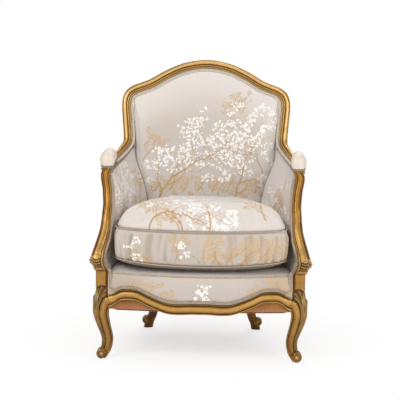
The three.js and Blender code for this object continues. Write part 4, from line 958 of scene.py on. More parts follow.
def makeArmRails():
    shares = np.concatenate([evenly(18, 0.008, 0.09), evenly(170, 0.09, 1)[1:]])
    size = 0.25 + 0.75 * smooth(shares / 0.1)
    y = curveAt(railPath, shares)[:, 1]
    drop = restSpan["drop"] * smooth((restSpan["endY"] + 6 - y) / 12)
    sides = armSection[:, 0][None] * size[:, None]
    ups = armSection[:, 1][None] * size[:, None]
    thin = 1 - 0.8 * smooth((0.16 - shares) / 0.08)
    ups = np.where(ups > 0, ups * (1 - drop[:, None] / arm["halfHeight"]), ups * thin[:, None])
    proud = turnUp["proud"] * (armSection[:, 1] > 0.5) * smooth((1 - shares) / 0.02)[:, None]
    ups = np.where(ups > 0, ups + proud, ups)
    rings = np.stack([besideRail(shares, sides[:, k], ups[:, k]) for k in range(len(armSection))], 1)
    marks = sectionMarks(armSection)
    makePair("arm_rail_carved", skin(rings, marks=marks), gilt, "gilt", "arm_rail")


makeArmRails()
report("arms and legs carved")


# Seat rails: their section, walked round, and its marks
def railRings(lower, bottom, raw, tall):
    one = np.ones(len(lower))
    section = [(chair["railThick"] * one, bottom * one), (apron["ledge"] * one, np.minimum(bottom, lower))]
    # The rail's underside, back and top are darkened as painted shade through the hollow mark
    marks = [(0, 0.4, 0, raw), (0, 0.5, 0, raw)]
    for u, forward, line, hollow, crown in apronSection:
        section.append((-forward * one, lower + u / apron["mould"] * tall))
        marks.append((line, hollow, crown, 0))
    section += [(back * one, chair["railTop"] * one) for back in (apron["ledge"], chair["railThick"])]
    marks += [(0, 0.6, 0, 0)] * 2
    marks = np.array(marks, float)
    return np.array(section), dict(zip(("line", "hollow", "crown", "raw"), marks.T))


def makeFrontRail():
    shares = evenly(220, 0.006, 0.994)
    edge = curveAt(apronEdge, shares)
    section, marks = railRings(edge[:, 2], chair["railBottom"], 1, frontFlare(edge[:, 0]))
    x = edge[:, 0]
    rings = np.stack([stack(x, frontFace(x) + back, height) for back, height in section], 1)
    makePiece("front_seat_rail_carved", skin(rings, marks=marks), giltRail, "gilt", ["front_seat_rail"])


makeFrontRail()

seatCorner = onBack(edgeIndexAt(chair["railTop"]), 1.2 * mould["width"] / 2, 0)[0]
sidePlanShares = [(0, 0), (0.203, -0.03), (0.391, 0.08), (0.579, 0.31), (0.767, 0.62), (0.92, 0.89), (1, 1)]
sidePlan = np.array([
    (mix(chair["legX"], seatCorner[0], inward), mix(chair["legY"], seatCorner[1], back), 0)
    for back, inward in sidePlanShares
])
sideApronShares = [(0, 0.32), (0.06, 0.5), (0.12, 0.9), (0.2, 1), (0.45, 0.75), (0.8, 0.95), (1, 0.8)]


def makeSideRails():
    shares = evenly(120, 0.045, 0.985)
    lower = apron["height"] + smoothedRun(rowsAt(sideApronShares, shares)[0]) * apron["rise"]
    section, marks = railRings(lower, chair["railBottom"] - 3, 0.1, mouldFlare((0.14 - shares) / 0.08))
    rings = []
    for back, height in section:
        points = beside(sidePlan, shares, chair["railThick"] / 2 - back, 0)
        points[:, 2] = height
        rings.append(points)
    shape = skin(np.stack(rings, 1), marks=marks)
    makePair("side_seat_rail_carved", shape, giltRail, "gilt", "side_seat_rail")


makeSideRails()
report("seat rails carved")

# Finishes of the plain wood and steel that stay as the frame has them
plainFinishes = {
    "back_seat_rail": giltDarkest, "side_stay_rail": beech, "back_stay_rail": beech, "corner_block": beech,
    "crest_peg": beech, "seat_spring": steel,
}
for nodeName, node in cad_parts.items():
    for start, finish in plainFinishes.items():
        if nodeName.startswith(start):
            node.data.materials.clear()
            node.data.materials.append(finish)

# The arm wall: a surface between seat rail, arm support, arm rail and stile
wall = {"base": chair["railTop"] + 2.9, "lift": arm["halfHeight"] + 0.6}


def armShare(s):
    return mix(1 / armSpans, 1, s)


def wallBottom(s):
    points = curveAt(sidePlan, s)
    points[:, 2] = wall["base"]
    return points


def wallTop(s):
    return curveAt(armPath, armShare(s)) - [0, 0, wall["lift"]]


wallFrontPath = np.vstack([
    [(chair["legX"], chair["legY"], wall["base"]), (chair["legX"], chair["legY"], chair["legTop"])],
    stumpCentre(np.array([0.118, 0.35, 0.58, 0.81])), wallTop(np.array([0.0])),
])


def wallBack(t):
    height = mix(wall["base"], arm["backHeight"] - wall["lift"], t)
    points = onBack(edgeIndexAt(height), mould["width"] / 2, 0)
    points[:, 2] = height
    return points


def armWall(s, t):
    s, t = sameLength(s, t)
    a, b = s[:, None], t[:, None]
    zero, one = np.zeros(1), np.ones(1)
    point = wallBottom(s) * (1 - b) + wallTop(s) * b
    point = point + curveAt(wallFrontPath, t) * (1 - a) + wallBack(t) * a
    point = point - wallBottom(zero) * (1 - a) * (1 - b) - wallBottom(one) * a * (1 - b)
    return point - wallTop(zero) * (1 - a) * b - wallTop(one) * a * b


# Woven motifs, drawn flat in millimetres: stems, clumps of leaves and clusters of florets
def growSprays(seed, roots):
    chance = np.random.default_rng(seed)
    stems, leaves, florets = [], [], []

    def bloomAt(x, y, spread, small, large):
        away, turn = spread * math.sqrt(chance.random()), chance.uniform(0, 2 * math.pi)
        radius = chance.uniform(small, large)
        florets.append((x + away * math.cos(turn), y + away * 0.6 * math.sin(turn), radius))

    def leafAt(x, y, spread, lean, small, large):
        long = chance.uniform(small, large)
        x, y = x + chance.normal(0, spread), y + chance.normal(0, spread * 0.6)
        leaves.append((x, y, lean, long, long * 0.34))

    def grow(x, y, heading, length, width, bend, level, flowering):
        step = 7.0
        count = max(3, int(length / step))
        curl = chance.normal(0, 2) + bend
        for k in range(count):
            heading += math.radians(curl + chance.normal(0, 8))
            ahead = (x + step * math.cos(heading), y + step * math.sin(heading))
            thin = width * (1 - 0.6 * k / count)
            stems.append((x, y, ahead[0], ahead[1], thin))
            x, y = ahead
            side = 1 if (k // 3) % 2 else -1
            if level > 0 and k % 4 == 3 and k < count - 1:
                lean = heading + side * math.radians(chance.uniform(38, 62))
                share = chance.uniform(0.3, 0.5)
                grow(x, y, lean, length * share, thin * 0.7, -side * 3, level - 1, flowering)
            elif flowering and level < 2 and chance.random() < 0.4:
                bloomAt(x, y, 12, 4, 8)
            elif not flowering and chance.random() < 0.6:
                leafAt(x, y, 6, heading, 18, 32)
        for _ in range(int(chance.integers(4, 8))):
            if flowering:
                bloomAt(x, y, 20, 6, 11)
            else:
                leafAt(x, y, 12, chance.uniform(0, math.pi), 20, 38)

    for x, y, degrees, length, width, bend, level, flowering in roots:
        grow(x, y, math.radians(degrees), length, width, bend, level, flowering)
    return {"stem": stems, "leaf": leaves, "bloom": florets}


def wovenMarks(across, up, sprays):
    far = 12.0
    fields = {name: np.full(len(across), far) for name in ("stem", "leaf", "bloom")}
    order = np.argsort(across)
    ranked = across[order]

    def near(x, y, reach):
        low, high = np.searchsorted(ranked, (x - reach, x + reach))
        ids = order[low:high]
        return ids[np.abs(up[ids] - y) < reach]

    def mark(name, ids, away):
        fields[name][ids] = np.minimum(fields[name][ids], away)

    for x0, y0, x1, y1, width in sprays["stem"]:
        ids = near((x0 + x1) / 2, (y0 + y1) / 2, 16)
        mark("stem", ids, distanceTo([(x0, y0), (x1, y1)], across[ids], up[ids]) - width / 2)
    for x, y, lean, long, wide in sprays["leaf"]:
        ids = near(x, y, 30)
        dx, dy = across[ids] - x, up[ids] - y
        along, aside = dx * math.cos(lean) + dy * math.sin(lean), dy * math.cos(lean) - dx * math.sin(lean)
        mark("leaf", ids, (np.hypot(along / (long / 2), aside / wide) - 1) * wide)
    for x, y, radius in sprays["bloom"]:
        ids = near(x, y, 24)
        mark("bloom", ids, np.hypot(across[ids] - x, up[ids] - y) - radius)
    return {name: np.clip(field, -6, far) for name, field in fields.items()}


# The opening in the back: across from -1 to 1, up from the base to the crest
tackGap = 1.4


def openingPoint(across, up, base, inward):
    across, up = sameLength(across, up)
    corner = onBack(padCornerIndex, inward, 0)[0]
    level = mix(base, corner[2], up)
    side = onBack(edgeIndexAt(np.minimum(level, rightEdge[shoulderIndex][2])), inward, 0)
    width = mix(side[:, 0], corner[0], smooth((up - 0.8) / 0.2))
    top = onBack(mix(edgeSpans - padCornerIndex, padCornerIndex, (across + 1) / 2), inward, 0)
    x = across * width + up * (top[:, 0] - across * corner[0])
    z = level + up * up * (top[:, 2] - corner[2])
    return x, z


# Puts a pattern on a shape's cloth, which runs across along one axis and up with the height
def weave(shape, seed, roots, axis=0):
    points = shape["points"]
    shape["marks"] = wovenMarks(points[:, axis], points[:, 2], growSprays(seed, roots))


backPad = {
    "base": 268, "bulge": 46, "behind": 2, "rimSide": 0.975, "rimTop": 0.985, "riseSide": 0.33,
    "riseTop": 0.22,
}
# How warm the cloth's tone is, as painted sheen and shade: light at the rim, more within, less low down
backShadeAndSheen = {"rim": 0.14, "inner": 0.42, "low": 0.1, "under": 700, "over": 200}
# Where a stem starts, its heading in degrees, length, width, bend, forks, and whether it flowers
backRoots = [
    (-170, 505, 48, 350, 6.6, 0.7, 3, True), (120, 508, 92, 260, 5.6, 1.6, 3, True),
    (218, 600, 92, 190, 4.6, 1.4, 2, True), (175, 905, -148, 110, 3.4, 1.5, 2, False),
    (-235, 640, 70, 110, 3.4, -1.0, 1, False),
] + [
    (x, 512 + 14 * (k % 2), 90 + 34 * (-1) ** k, 52, 3.0, 0, 1, False)
    for k, x in enumerate(range(-215, 220, 27))
]


def makeBackPad():
    s, t, grid = shareGrid(evenly(150, -1, 1), evenly(200))
    x, z = openingPoint(s, t, backPad["base"], mould["width"] + tackGap)
    side = (backPad["rimSide"] - np.abs(s)) / backPad["riseSide"]
    top = (backPad["rimTop"] - t) / backPad["riseTop"]
    forward = backPad["bulge"] * smooth(np.minimum(side, top)) ** 0.6
    shape = slab(grid, stack(x, backFace(x, z) - forward, z), stack(x, backFace(x, z) + backPad["behind"], z))
    weave(shape, 11, backRoots)
    # Painted sheen along the rim of the back and painted shade within it
    low = smooth((backShadeAndSheen["under"] - shape["points"][:, 2]) / backShadeAndSheen["over"])
    inner = smooth((0.97 - np.abs(np.tile(s, 2))) / 0.4) * smooth((1.0 - np.tile(t, 2)) / 0.25)
    shape["marks"]["tone"] = backShadeAndSheen["rim"] + backShadeAndSheen["inner"] * inner - backShadeAndSheen["low"] * low
    makePiece("inside_back_upholstery", shape, brocade, "brocade", ["inside_back_pad"])


makeBackPad()


# Paints shade on a pad along the lines where others meet it: each other's name, reach and depth
def paintShadeAgainst(piece, others):
    paintedShade = np.zeros(len(piece.data.vertices))
    for name, reach, depth in others:
        other = bpy.data.objects[name].data
        tree = BVHTree.FromPolygons([v.co for v in other.vertices], [p.vertices[:] for p in other.polygons])
        gaps = np.array([tree.find_nearest(v.co)[3] for v in piece.data.vertices]) * 1000
        paintedShade = np.maximum(paintedShade, np.exp(-((gaps / reach) ** 2)) * depth)
    setMarks(piece, {"paintedShade": paintedShade})


armPad = {"edge": 21.5, "thick": 44, "ease": 0.22, "rise": 0.3, "faceSet": 8.5}
# Painted shade on the inside arms: darker at the front roll, less further back
armShade = {"front": 0.46, "less": 0.26, "from": 90, "over": 90}
# In from the front edge, then up
armRoots = [
    (10, 300, 90, 290, 3.0, 0, 1, True), (36, 320, 88, 270, 3.0, 0.2, 1, True),
    (62, 300, 92, 290, 3.2, -0.2, 2, True), (92, 340, 90, 230, 3.2, 0, 1, True),
    (122, 420, 88, 150, 3.2, 0, 1, True), (175, 420, 80, 130, 3.2, 1, 2, False),
    (225, 440, 92, 120, 3.2, 0, 1, False),
]
outerRoots = [
    (-282, 330, 88, 260, 3.4, 0, 2, True), (-244, 420, 88, 190, 3.4, 0, 2, True),
    (-160, 330, 66, 170, 3.6, 2, 2, True), (20, 330, 100, 190, 3.6, -2, 2, False),
    (120, 420, 96, 110, 3.2, 1, 1, False),
]


def armPadInset(s, t):
    full = mix(armPad["edge"], armPad["thick"], smooth(s / armPad["ease"]))
    return mix(arm["half"] + 0.3, full, smooth((1 - t) / armPad["rise"]))


def armPadFace(s, t):
    s, t = sameLength(s, t)
    points = armWall(s, t)
    points[:, 0] -= armPadInset(s, t)
    points[:, 1] -= armPad["faceSet"] * (1 - smooth(s / 0.12))
    return points


def makeArmPads():
    s, t, grid = shareGrid(evenly(110), evenly(96))
    face = armPadFace(s, t)
    step = smooth((s - 0.03) / 0.1)
    back = armWall(s, t)
    back[:, 0] -= mix(13, 10, step) + 0.6
    back[:, 1] -= armPad["faceSet"] * (1 - smooth(s / 0.12))
    shape = slab(grid, face, back)
    for side, half, seed in (("right", shape, 21), ("left", mirrored(shape), 22)):
        inset = armPadInset(s, t) - armPad["edge"]
        across = 0.5 * (face[:, 1] - armPadFace(0 * t, t)[:, 1]) + 1.3 * inset
        half["marks"] = wovenMarks(np.tile(across, 2), half["points"][:, 2], growSprays(seed, armRoots))
        fade = smooth((across - armShade["from"]) / armShade["over"])
        half["marks"]["tone"] = np.tile(armShade["front"] - armShade["less"] * fade, 2)
        name = f"inside_arm_upholstery_{side}"
        makePiece(name, half, brocade, "brocade", [f"inside_arm_pad_{side}"])


makeArmPads()


# How the thin covers stand: outside the arm wall, behind the back's face, and over the frame's edge
cover = {"thick": 1.6, "armStand": 10.6, "backStand": 15.2, "tuck": 0.8, "gap": 0.3}


def makeOutsideArms():
    s, t, grid = shareGrid(evenly(60, 0.045, 0.965), evenly(50))
    inner = armWall(s, t) + [cover["armStand"], 0, 0]
    shape = slab(grid, inner + [cover["thick"], 0, 0], inner)
    for side, half, seed in (("right", shape, 31), ("left", mirrored(shape), 32)):
        weave(half, seed, outerRoots, 1)
        name = f"outside_arm_cloth_{side}"
        piece = makePiece(name, half, brocade, "brocade", [f"outside_arm_cover_{side}"])


makeOutsideArms()


def makeOutsideBack():
    s, t, grid = shareGrid(evenly(90, -1, 1), evenly(120))
    x, z = openingPoint(s, t, chair["railTop"] + cover["gap"], mould["width"] - cover["tuck"])
    inner = stack(x, backFace(x, z) + cover["backStand"], z)
    shape = slab(grid, inner + [0, cover["thick"], 0], inner)
    weave(shape, 41, backRoots)
    piece = makePiece("outside_back_cloth", shape, brocade, "brocade", ["outside_back_cover"])


makeOutsideBack()
report("back and arms covered")

# The sprung seat: canvas over the springs, stuffing over the canvas, and its front border
seat = {
    "deckTop": 306, "edgeTop": 281, "edgeRise": 10, "canvasThick": 1.6, "canvasLow": 245.3,
    "canvasHigh": 259.3, "deckOver": 2.5, "standForward": 9, "bulge": 7, "welt": 2.3,
}


def seatPlanPoint(across, back, inset):
    plan = curveAt(sidePlan, back)
    front = frontFace(across * plan[:, 0]) + apron["ledge"] + 0.9
    y = mix(front, backFace(across * plan[:, 0], chair["railTop"]), back)
    return across * (plan[:, 0] - inset), y, plan[:, 0]


def borderTop(x):
    return seat["edgeTop"] + seat["edgeRise"] * (x / chair["legX"]) ** 2


def makeSeat():
    s, t, grid = shareGrid(evenly(70, -1, 1), evenly(60))
    x, y, reach = seatPlanPoint(s, t, chair["railThick"] / 4)
    inboard = (1 - np.abs(s)) * reach - armPad["thick"]
    middle = smooth(inboard / 38) * smooth(np.minimum(t, 1 - t) / 0.25)
    low = mix(seat["canvasLow"], seat["canvasHigh"], middle)
    shape = slab(grid, stack(x, y, low + seat["canvasThick"]), stack(x, y, low))
    sheet = makePiece("spring_canvas_cloth", shape, canvas, "canvas", ["spring_canvas"])
    top = mix(borderTop(x), seat["deckTop"], smooth(t / 0.14) ** 0.8)
    dip = 1 - smooth((np.abs(s) - 0.9) / 0.1)
    top = top * dip + (1 - dip) * seat["edgeTop"]
    deck = slab(grid, stack(x, y, top), stack(x, y, low + seat["deckOver"]))
    makePiece("seat_deck_stuffing", deck, deckSatin, "satin", ["seat_deck"])


makeSeat()

borderRoots = [
    (-262, 205, 40, 60, 3.0, 0, 1, False), (-215, 205, 120, 60, 3.0, 0, 1, False),
    (235, 200, 60, 70, 3.0, 0, 2, False), (262, 205, 110, 60, 3.0, 0, 1, False),
    (70, 176, 100, 90, 3.4, 2, 2, True), (-70, 176, 120, 60, 3.0, -2, 1, False),
    (190, 190, 100, 60, 3.0, 2, 1, False), (-20, 176, 60, 50, 3.0, 0, 1, True),
    (-160, 196, 90, 60, 3.0, 0, 1, False), (150, 186, 80, 70, 3.0, 0, 2, False),
    (-240, 215, 60, 60, 3.0, 0, 1, False), (262, 240, 120, 40, 3.0, 0, 1, False),
]


# Painted shade on the seat's front border: darker than the top of the seat, more towards its ends
borderShade = {"middle": 0.62, "ends": 0.24, "from": 120, "over": 140}


def makeBorder():
    shares = evenly(200, 0.002, 0.998)
    edge = curveAt(apronEdge, shares)
    x, lower = edge[:, 0], edge[:, 2] + apron["mould"] - 5
    top = borderTop(x)
    front = apron["ledge"] - seat["standForward"]
    ups = evenly(34)
    bulge = seat["bulge"] * np.sin(math.pi * ups) ** 0.7 - 2 * smooth((ups - 0.9) / 0.1)
    behind = frontFace(x) + apron["ledge"] - 1
    rings = [stack(x, frontFace(x) + front - out, mix(lower, top, up)) for up, out in zip(ups, bulge)]
    rings = [stack(x, behind, lower), *rings, stack(x, behind, top)]
    shape = skin(np.stack(rings, 1))
    weave(shape, 51, borderRoots)
    ends = smooth((np.abs(shape["points"][:, 0]) - borderShade["from"]) / borderShade["over"])
    shape["marks"]["tone"] = borderShade["middle"] + borderShade["ends"] * ends
    makePiece("seat_border_upholstery", shape, brocade, "brocade", ["seat_front_border"])


makeBorder()


# A cord of cloth round a path
def tube(path, shares, radius, loop=False, sides=10):
    angles = [2 * math.pi * k / sides for k in range(sides)]
    rings = [beside(path, shares, radius * math.cos(a), radius * math.sin(a), loop) for a in angles]
    return skin(np.stack(rings, 1), loop)


def makeBorderWelt():
    x = curveAt(apronEdge, evenly(40, 0.01, 0.99))[:, 0]
    path = stack(x, frontFace(x) + apron["ledge"] - seat["standForward"] + 1.5, borderTop(x) + 1.5)
    shape = tube(path, evenly(160), seat["welt"])
    makePiece("seat_border_piping", shape, piping, "brocade", ["seat_border_welt"])


makeBorderWelt()


# Braid: a ribbon with scalloped edges and a plait down its middle
def braidRibbon(middle, across, out, width, thick, pitch=5.0, serrated=0.12):
    length = np.concatenate([[0], np.cumsum(np.linalg.norm(np.diff(middle, axis=0), axis=1))])
    wave = np.sin(2 * math.pi * length / pitch)
    rings, hollow = [], []
    for side in evenly(8, -1, 1):
        shift = side * width / 2 * (1 + serrated * wave * abs(side) ** 3)
        plait = np.sin(2 * math.pi * (length / pitch + 0.45 * abs(side))) * 0.35
        height = thick * (0.75 + 0.25 * math.cos(side * 2 * math.pi) + plait * (1 - 0.3 * abs(side)))
        rings.append(middle + across * shift[:, None] + out * height[:, None])
        # Painted shade between the plaits and along the edges, as the hollow mark
        hollow.append(0.5 - plait * 1.4)
    for side in (1, -1):
        rings.append(middle + across * side * width / 2)
        hollow.append(np.ones(len(length)))
    return skin(np.stack(rings, 1), marks={"hollow": np.clip(np.stack(hollow, 1), 0, 1)})


gimp = {"width": 9.5, "thick": 2.4, "blockX": 296, "inward": 38.6, "forward": 1.8}


def forwardOf(points):
    return np.broadcast_to([0.0, -1.0, 0.0], points.shape)


# A braid along a line of points, facing forward
def frontBraid(middle):
    out = forwardOf(middle)
    across = unit(np.cross(unit(np.gradient(middle, axis=0)), out))
    return braidRibbon(middle, across, out, gimp["width"], gimp["thick"])


def makeBackGimp():
    inward, forward = gimp["inward"], gimp["forward"]
    start = edgeIndexAt(turnUp["high"])
    stations = np.linspace(start, edgeSpans - start, 1300)
    middle = onBack(stations, inward, forward)
    shares = evenly(240, 0.4, 0.995)
    side = mould["width"] / 2 - inward
    tail = besideRail(shares, side, forward)
    tailAcross = unit(tail - besideRail(shares, side + 1, forward))
    tailOut = unit(besideRail(shares, side, forward + 1) - tail)
    flip = np.array([-1.0, 1, 1])

    def withTails(ends, between):
        return np.vstack([ends, between, (ends * flip)[::-1]])

    across = withTails(tailAcross, unit(onBack(stations, inward + 1, forward) - middle))
    out = withTails(tailOut, forwardOf(middle))
    middle = withTails(tail, middle)
    shape = braidRibbon(middle, across, out, gimp["width"], gimp["thick"])
    makePiece("gimp_back_braid", shape, paleBraid, "braid", ["gimp_back"])


def makeSeatGimp():
    edge = curveAt(apronEdge, evenly(80, 0.012, 0.988))
    along = stack(edge[:, 0], edge[:, 2] * 0, edge[:, 2] + frontFlare(edge[:, 0]) + 4)
    rise = [(3, 302), (0, 284), (-1, 262), (-1, 244)]
    rise = np.array([(gimp["blockX"] + out, 0, height) for out, height in rise])
    flat = along[np.abs(along[:, 0]) < gimp["blockX"] - 9]
    path = np.vstack([rise * [-1, 1, 1], flat, rise[::-1]])
    middle = curveAt(path, evenly(900))
    middle[:, 1] = frontFace(middle[:, 0]) - 2.5
    makePiece("gimp_seat_braid", frontBraid(middle), braid, "braid", ["gimp_seat_front"])


def makeStumpGimps():
    t = evenly(220, 0.1, 0.985)
    front = armPadFace(np.zeros(1), t)
    inset = armPadInset(np.zeros(1), t)
    slim = smooth((front[:, 2] - 380) / 80)
    middle = stack(front[:, 0] + inset - mix(22, 16.5, slim), front[:, 1] - 1.0, front[:, 2])
    makePair("gimp_stump_braid", frontBraid(middle), braid, "braid", "gimp_stump")


makeBackGimp()
makeSeatGimp()
makeStumpGimps()

# Small pads on the arms: stuffed rolls with the braid round their feet
rest = {
    "half": 24.5, "height": 55, "endY": 60, "noseSet": 4, "foot": 3.5, "inward": 5, "belly": 0.42,
    "pull": 0.012, "pulls": 90,
}
restBraid = {"across": 0.74, "flare": 1.25, "foot": 4.5, "top": 10, "width": 8, "thick": 2.2}
restRows = [
    (0, 0.06), (0.008, 0.3), (0.02, 0.5), (0.045, 0.7), (0.09, 0.88), (0.15, 0.97), (0.25, 1.02), (0.4, 1.02),
    (0.6, 0.99), (0.8, 0.93), (0.9, 0.8), (0.955, 0.62), (0.985, 0.4), (1, 0.1),
]
armTable = curveAt(armPath, evenly(400))


def armShareAt(y):
    return np.interp(y, armTable[:, 1], evenly(400))


restStart = armShareAt(armStart[1] - arm["nose"] + rest["noseSet"])
restEnd = armShareAt(rest["endY"])


# Shares along a pad, closer at its ends, and the pad's size there
def restSpans(ends, middle):
    spans = [evenly(ends, 0, 0.12), evenly(middle, 0.12, 0.88)[1:], evenly(ends, 0.88, 1)[1:]]
    shares = np.concatenate(spans)
    return shares, rowsAt(restRows, shares)[0]


def besideRest(shares, side, up):
    inward = rest["inward"] * smooth((0.5 - shares) / 0.4)
    return beside(armPath, mix(restStart, restEnd, shares), side, rest["foot"] + up) - stack(inward, 0, 0)


def makeRests():
    shares, size = restSpans(26, 70)
    rings = []
    for angle in evenly(40)[:-1] * 2 * math.pi:
        above = math.sin(angle) > 0
        rise = rest["belly"] + (1 - rest["belly"] if above else rest["belly"]) * math.sin(angle)
        pull = 1 + rest["pull"] * np.sin(shares * rest["pulls"] + angle * 3)
        side = math.cos(angle) * (1.0 if above else 0.98) * size * rest["half"] * 1.03 * pull
        rings.append(besideRest(shares, side, max(rise, 0.0) * np.sqrt(size) * rest["height"] * pull))
    for piece in makePair("arm_pad_upholstery", skin(np.stack(rings, 1)), satin, "satin", "arm_pad"):
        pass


def makeRestGimps():
    shares, size = restSpans(30, 80)
    both = np.concatenate([shares, shares[::-1]])
    across = np.concatenate([size, -size[::-1]]) * rest["half"] * restBraid["across"]
    foot = besideRest(both, across, restBraid["foot"])
    over = unit(besideRest(both, across * restBraid["flare"], restBraid["top"]) - foot)
    along = unit(np.roll(foot, -1, axis=0) - np.roll(foot, 1, axis=0))
    out = unit(np.cross(along, over))
    dense = np.linspace(0, 1, 620)[:-1]
    points, ups, outs = [curveAt(v, dense, True) for v in (foot, over, out)]
    ribbon = braidRibbon(
        points, unit(ups), unit(outs), restBraid["width"], restBraid["thick"], pitch=6, serrated=0.3,
    )
    makePair("gimp_arm_pad_braid", ribbon, fringe, "braid", "gimp_arm_pad")


makeRests()
makeRestGimps()
report("seat, pads and braid made")

# Loose cushion
cushion = {
    "thick": 213, "half": 298, "frontY": -344, "backY": 184, "ease": 7, "base": seat["deckTop"] + 0.3,
    "bottomSeam": 0.08, "topSeam": 0.575, "cornerLift": 20, "seamLift": 12, "droop": 9, "welt": 1.7,
    "voxel": 0.006, "pressure": 2.6, "cap": 5, "frames": 20, "inset": 5, "rows": 27, "columns": 200,
}
# The slack cloth: how deep its folds and puckers are, and how its seams draw in and take painted shade
slack = {"fold": 2.5, "pucker": 2, "seamDeep": 4.5, "seamWide": 4.5, "seamShade": 2.4, "seamHeld": 7}
# Its painted shade: some on the top, more on the boxing and in the folds' valleys, and a dark underside and
# lower band
cushionShade = {"top": 0.34, "side": 0.32, "valleys": 0.34, "under": 0.85, "band": 0.54}
# Share of the plan and share of the thickness
cushionProfiles = [
    [(0.0, 0), (0.3, 0), (0.6, 0.001), (0.8, 0.004), (0.92, 0.018), (0.975, 0.048), (0.995, 0.08)],
    [
        (0.995, 0.08), (1.012, 0.14), (1.022, 0.23), (1.025, 0.33), (1.022, 0.43), (1.012, 0.515),
        (0.995, 0.575),
    ],
    [
        (0.995, 0.575), (0.982, 0.66), (0.94, 0.79), (0.87, 0.9), (0.75, 0.96), (0.55, 0.985), (0.28, 0.997),
        (0.0, 1.0),
    ],
]


def cushionSide(back):
    y = mix(cushion["frontY"], cushion["backY"], back)
    top = wallTop(np.zeros(1))[0, 2]
    shares = np.array([0, 0.07, 0.15, 0.25, 0.36, 0.48, 0.6, 0.72, 0.84, 0.93, 1])
    reach = cushion["half"]
    for height in np.linspace(cushion["base"], top, 17):
        level = (height - wall["base"]) / (top - wall["base"])
        points = armPadFace(shares, level)
        reach = min(reach, np.interp(y, points[:, 1], points[:, 0]))
    return (reach - cushion["ease"], y)


def cushionPlanPoints():
    frontWidth, backWidth = cushionSide(0)[0], cushionSide(0.93)[0]
    half = [(a * frontWidth, b) for a, b in ((0.45, 0.002), (0.82, 0.01), (0.965, 0.04))]
    half += [(cushionSide(b)[0], b) for b in (0.1, 0.2, 0.33, 0.47, 0.61, 0.74, 0.85)]
    half += [(a * backWidth, b) for a, b in ((0.985, 0.955), (0.78, 0.992))]
    plan = [(0, 0), *half, (0, 1), *[(-x, back) for x, back in half[::-1]]]
    return np.array([(x, mix(cushion["frontY"], cushion["backY"], back), 0) for x, back in plan])


cushionPlan = cushionPlanPoints()
cushionMiddle = np.array([0, (cushion["frontY"] + cushion["backY"]) / 2, 0])
planTurns = evenly(720)[:-1]
planEdge = curveAt(cushionPlan, planTurns, True)
planLength = np.concatenate([[0], np.cumsum(np.linalg.norm(np.diff(planEdge, axis=0), axis=1))])
planAngle = np.unwrap(np.arctan2(planEdge[:, 1] - cushionMiddle[1], planEdge[:, 0]))


# How far the front corners of the cushion turn up, and its seams with them
def cornerLift(x, y, height):
    aside = np.clip(np.abs(x) / cushion["half"], 0, 1) ** 2.2
    ahead = smooth((-y - 20) / 250)
    low = cushion["cornerLift"] * aside * ahead
    high = cushion["seamLift"] * aside * ahead
    level = smooth(height / cushion["topSeam"])
    droop = cushion["droop"] * smooth((-y - 230) / 90) * (1 - 0.6 * aside) * (1 - level)
    return mix(low, high, level) * (1 - smooth((height - 0.6) / 0.4)) - droop


def cushionRing(turns, size, height, inset=0.0):
    edge = curveAt(cushionPlan, turns, True)
    away = edge - cushionMiddle
    point = cushionMiddle + away * size - unit(away) * inset * size
    z = cushion["base"] + height * cushion["thick"] + cornerLift(point[:, 0], point[:, 1], height)
    return stack(point[:, 0], point[:, 1], z)


def cushionStart():
    turnsRound = evenly(cushion["columns"])[:-1]
    rings = []
    for number, profile in enumerate(cushionProfiles):
        sizes = curveAt([(size, 0, height) for size, height in profile], evenly(cushion["rows"]))
        for size, _, height in sizes[1 if number else 0:]:
            rings.append(cushionRing(turnsRound, max(size, 0.004), height, cushion["inset"]))
    return skin(np.array(rings))


def seamLevel(points, seam):
    return seam * cushion["thick"] + cushion["base"] + cornerLift(points[:, 0], points[:, 1], seam)


# Lets the cloth of the cushion swell from inside, held along its seams
def swell(piece, held):
    start = np.array([v.co for v in piece.data.vertices])
    group = piece.vertex_groups.new(name="seam")
    for k, weight in enumerate(held(start)):
        if weight > 0.02:
            group.add([k], float(weight), "REPLACE")
    cloth = piece.modifiers.new("cloth", "CLOTH")
    cloth.settings.use_pressure = True
    cloth.settings.uniform_pressure_force = cushion["pressure"]
    cloth.settings.effector_weights.gravity = 0
    cloth.settings.vertex_group_mass = "seam"
    cloth.settings.quality = 4
    cloth.point_cache.frame_start = 1
    cloth.point_cache.frame_end = cushion["frames"]
    for number in range(1, cushion["frames"] + 1):
        bpy.context.scene.frame_set(number)
    onlyActive(piece)
    bpy.ops.object.modifier_apply(modifier="cloth")
    bpy.context.scene.frame_set(1)
    end = np.array([v.co for v in piece.data.vertices])
    move = end - start
    length = np.linalg.norm(move, axis=1, keepdims=True)
    kept = np.minimum(length, cushion["cap"] / 1000)
    place = start + move * kept / np.maximum(length, 1e-9)
    piece.data.vertices.foreach_set("co", place.ravel())


def cushionPlace(points):
    angle = np.arctan2(points[:, 1] - cushionMiddle[1], points[:, 0])
    span = 2 * math.pi
    angle = np.mod(angle - planAngle[0], span * np.sign(planAngle[-1] - planAngle[0]) or span) + planAngle[0]
    order = np.argsort(planAngle)
    around = np.interp(angle, planAngle[order], planLength[order])
    away = np.hypot(points[:, 0], points[:, 1] - cushionMiddle[1])
    edgeAway = np.hypot(planEdge[:, 0], planEdge[:, 1] - cushionMiddle[1])
    reach = np.interp(angle, planAngle[order], edgeAway[order])
    return around, away / reach


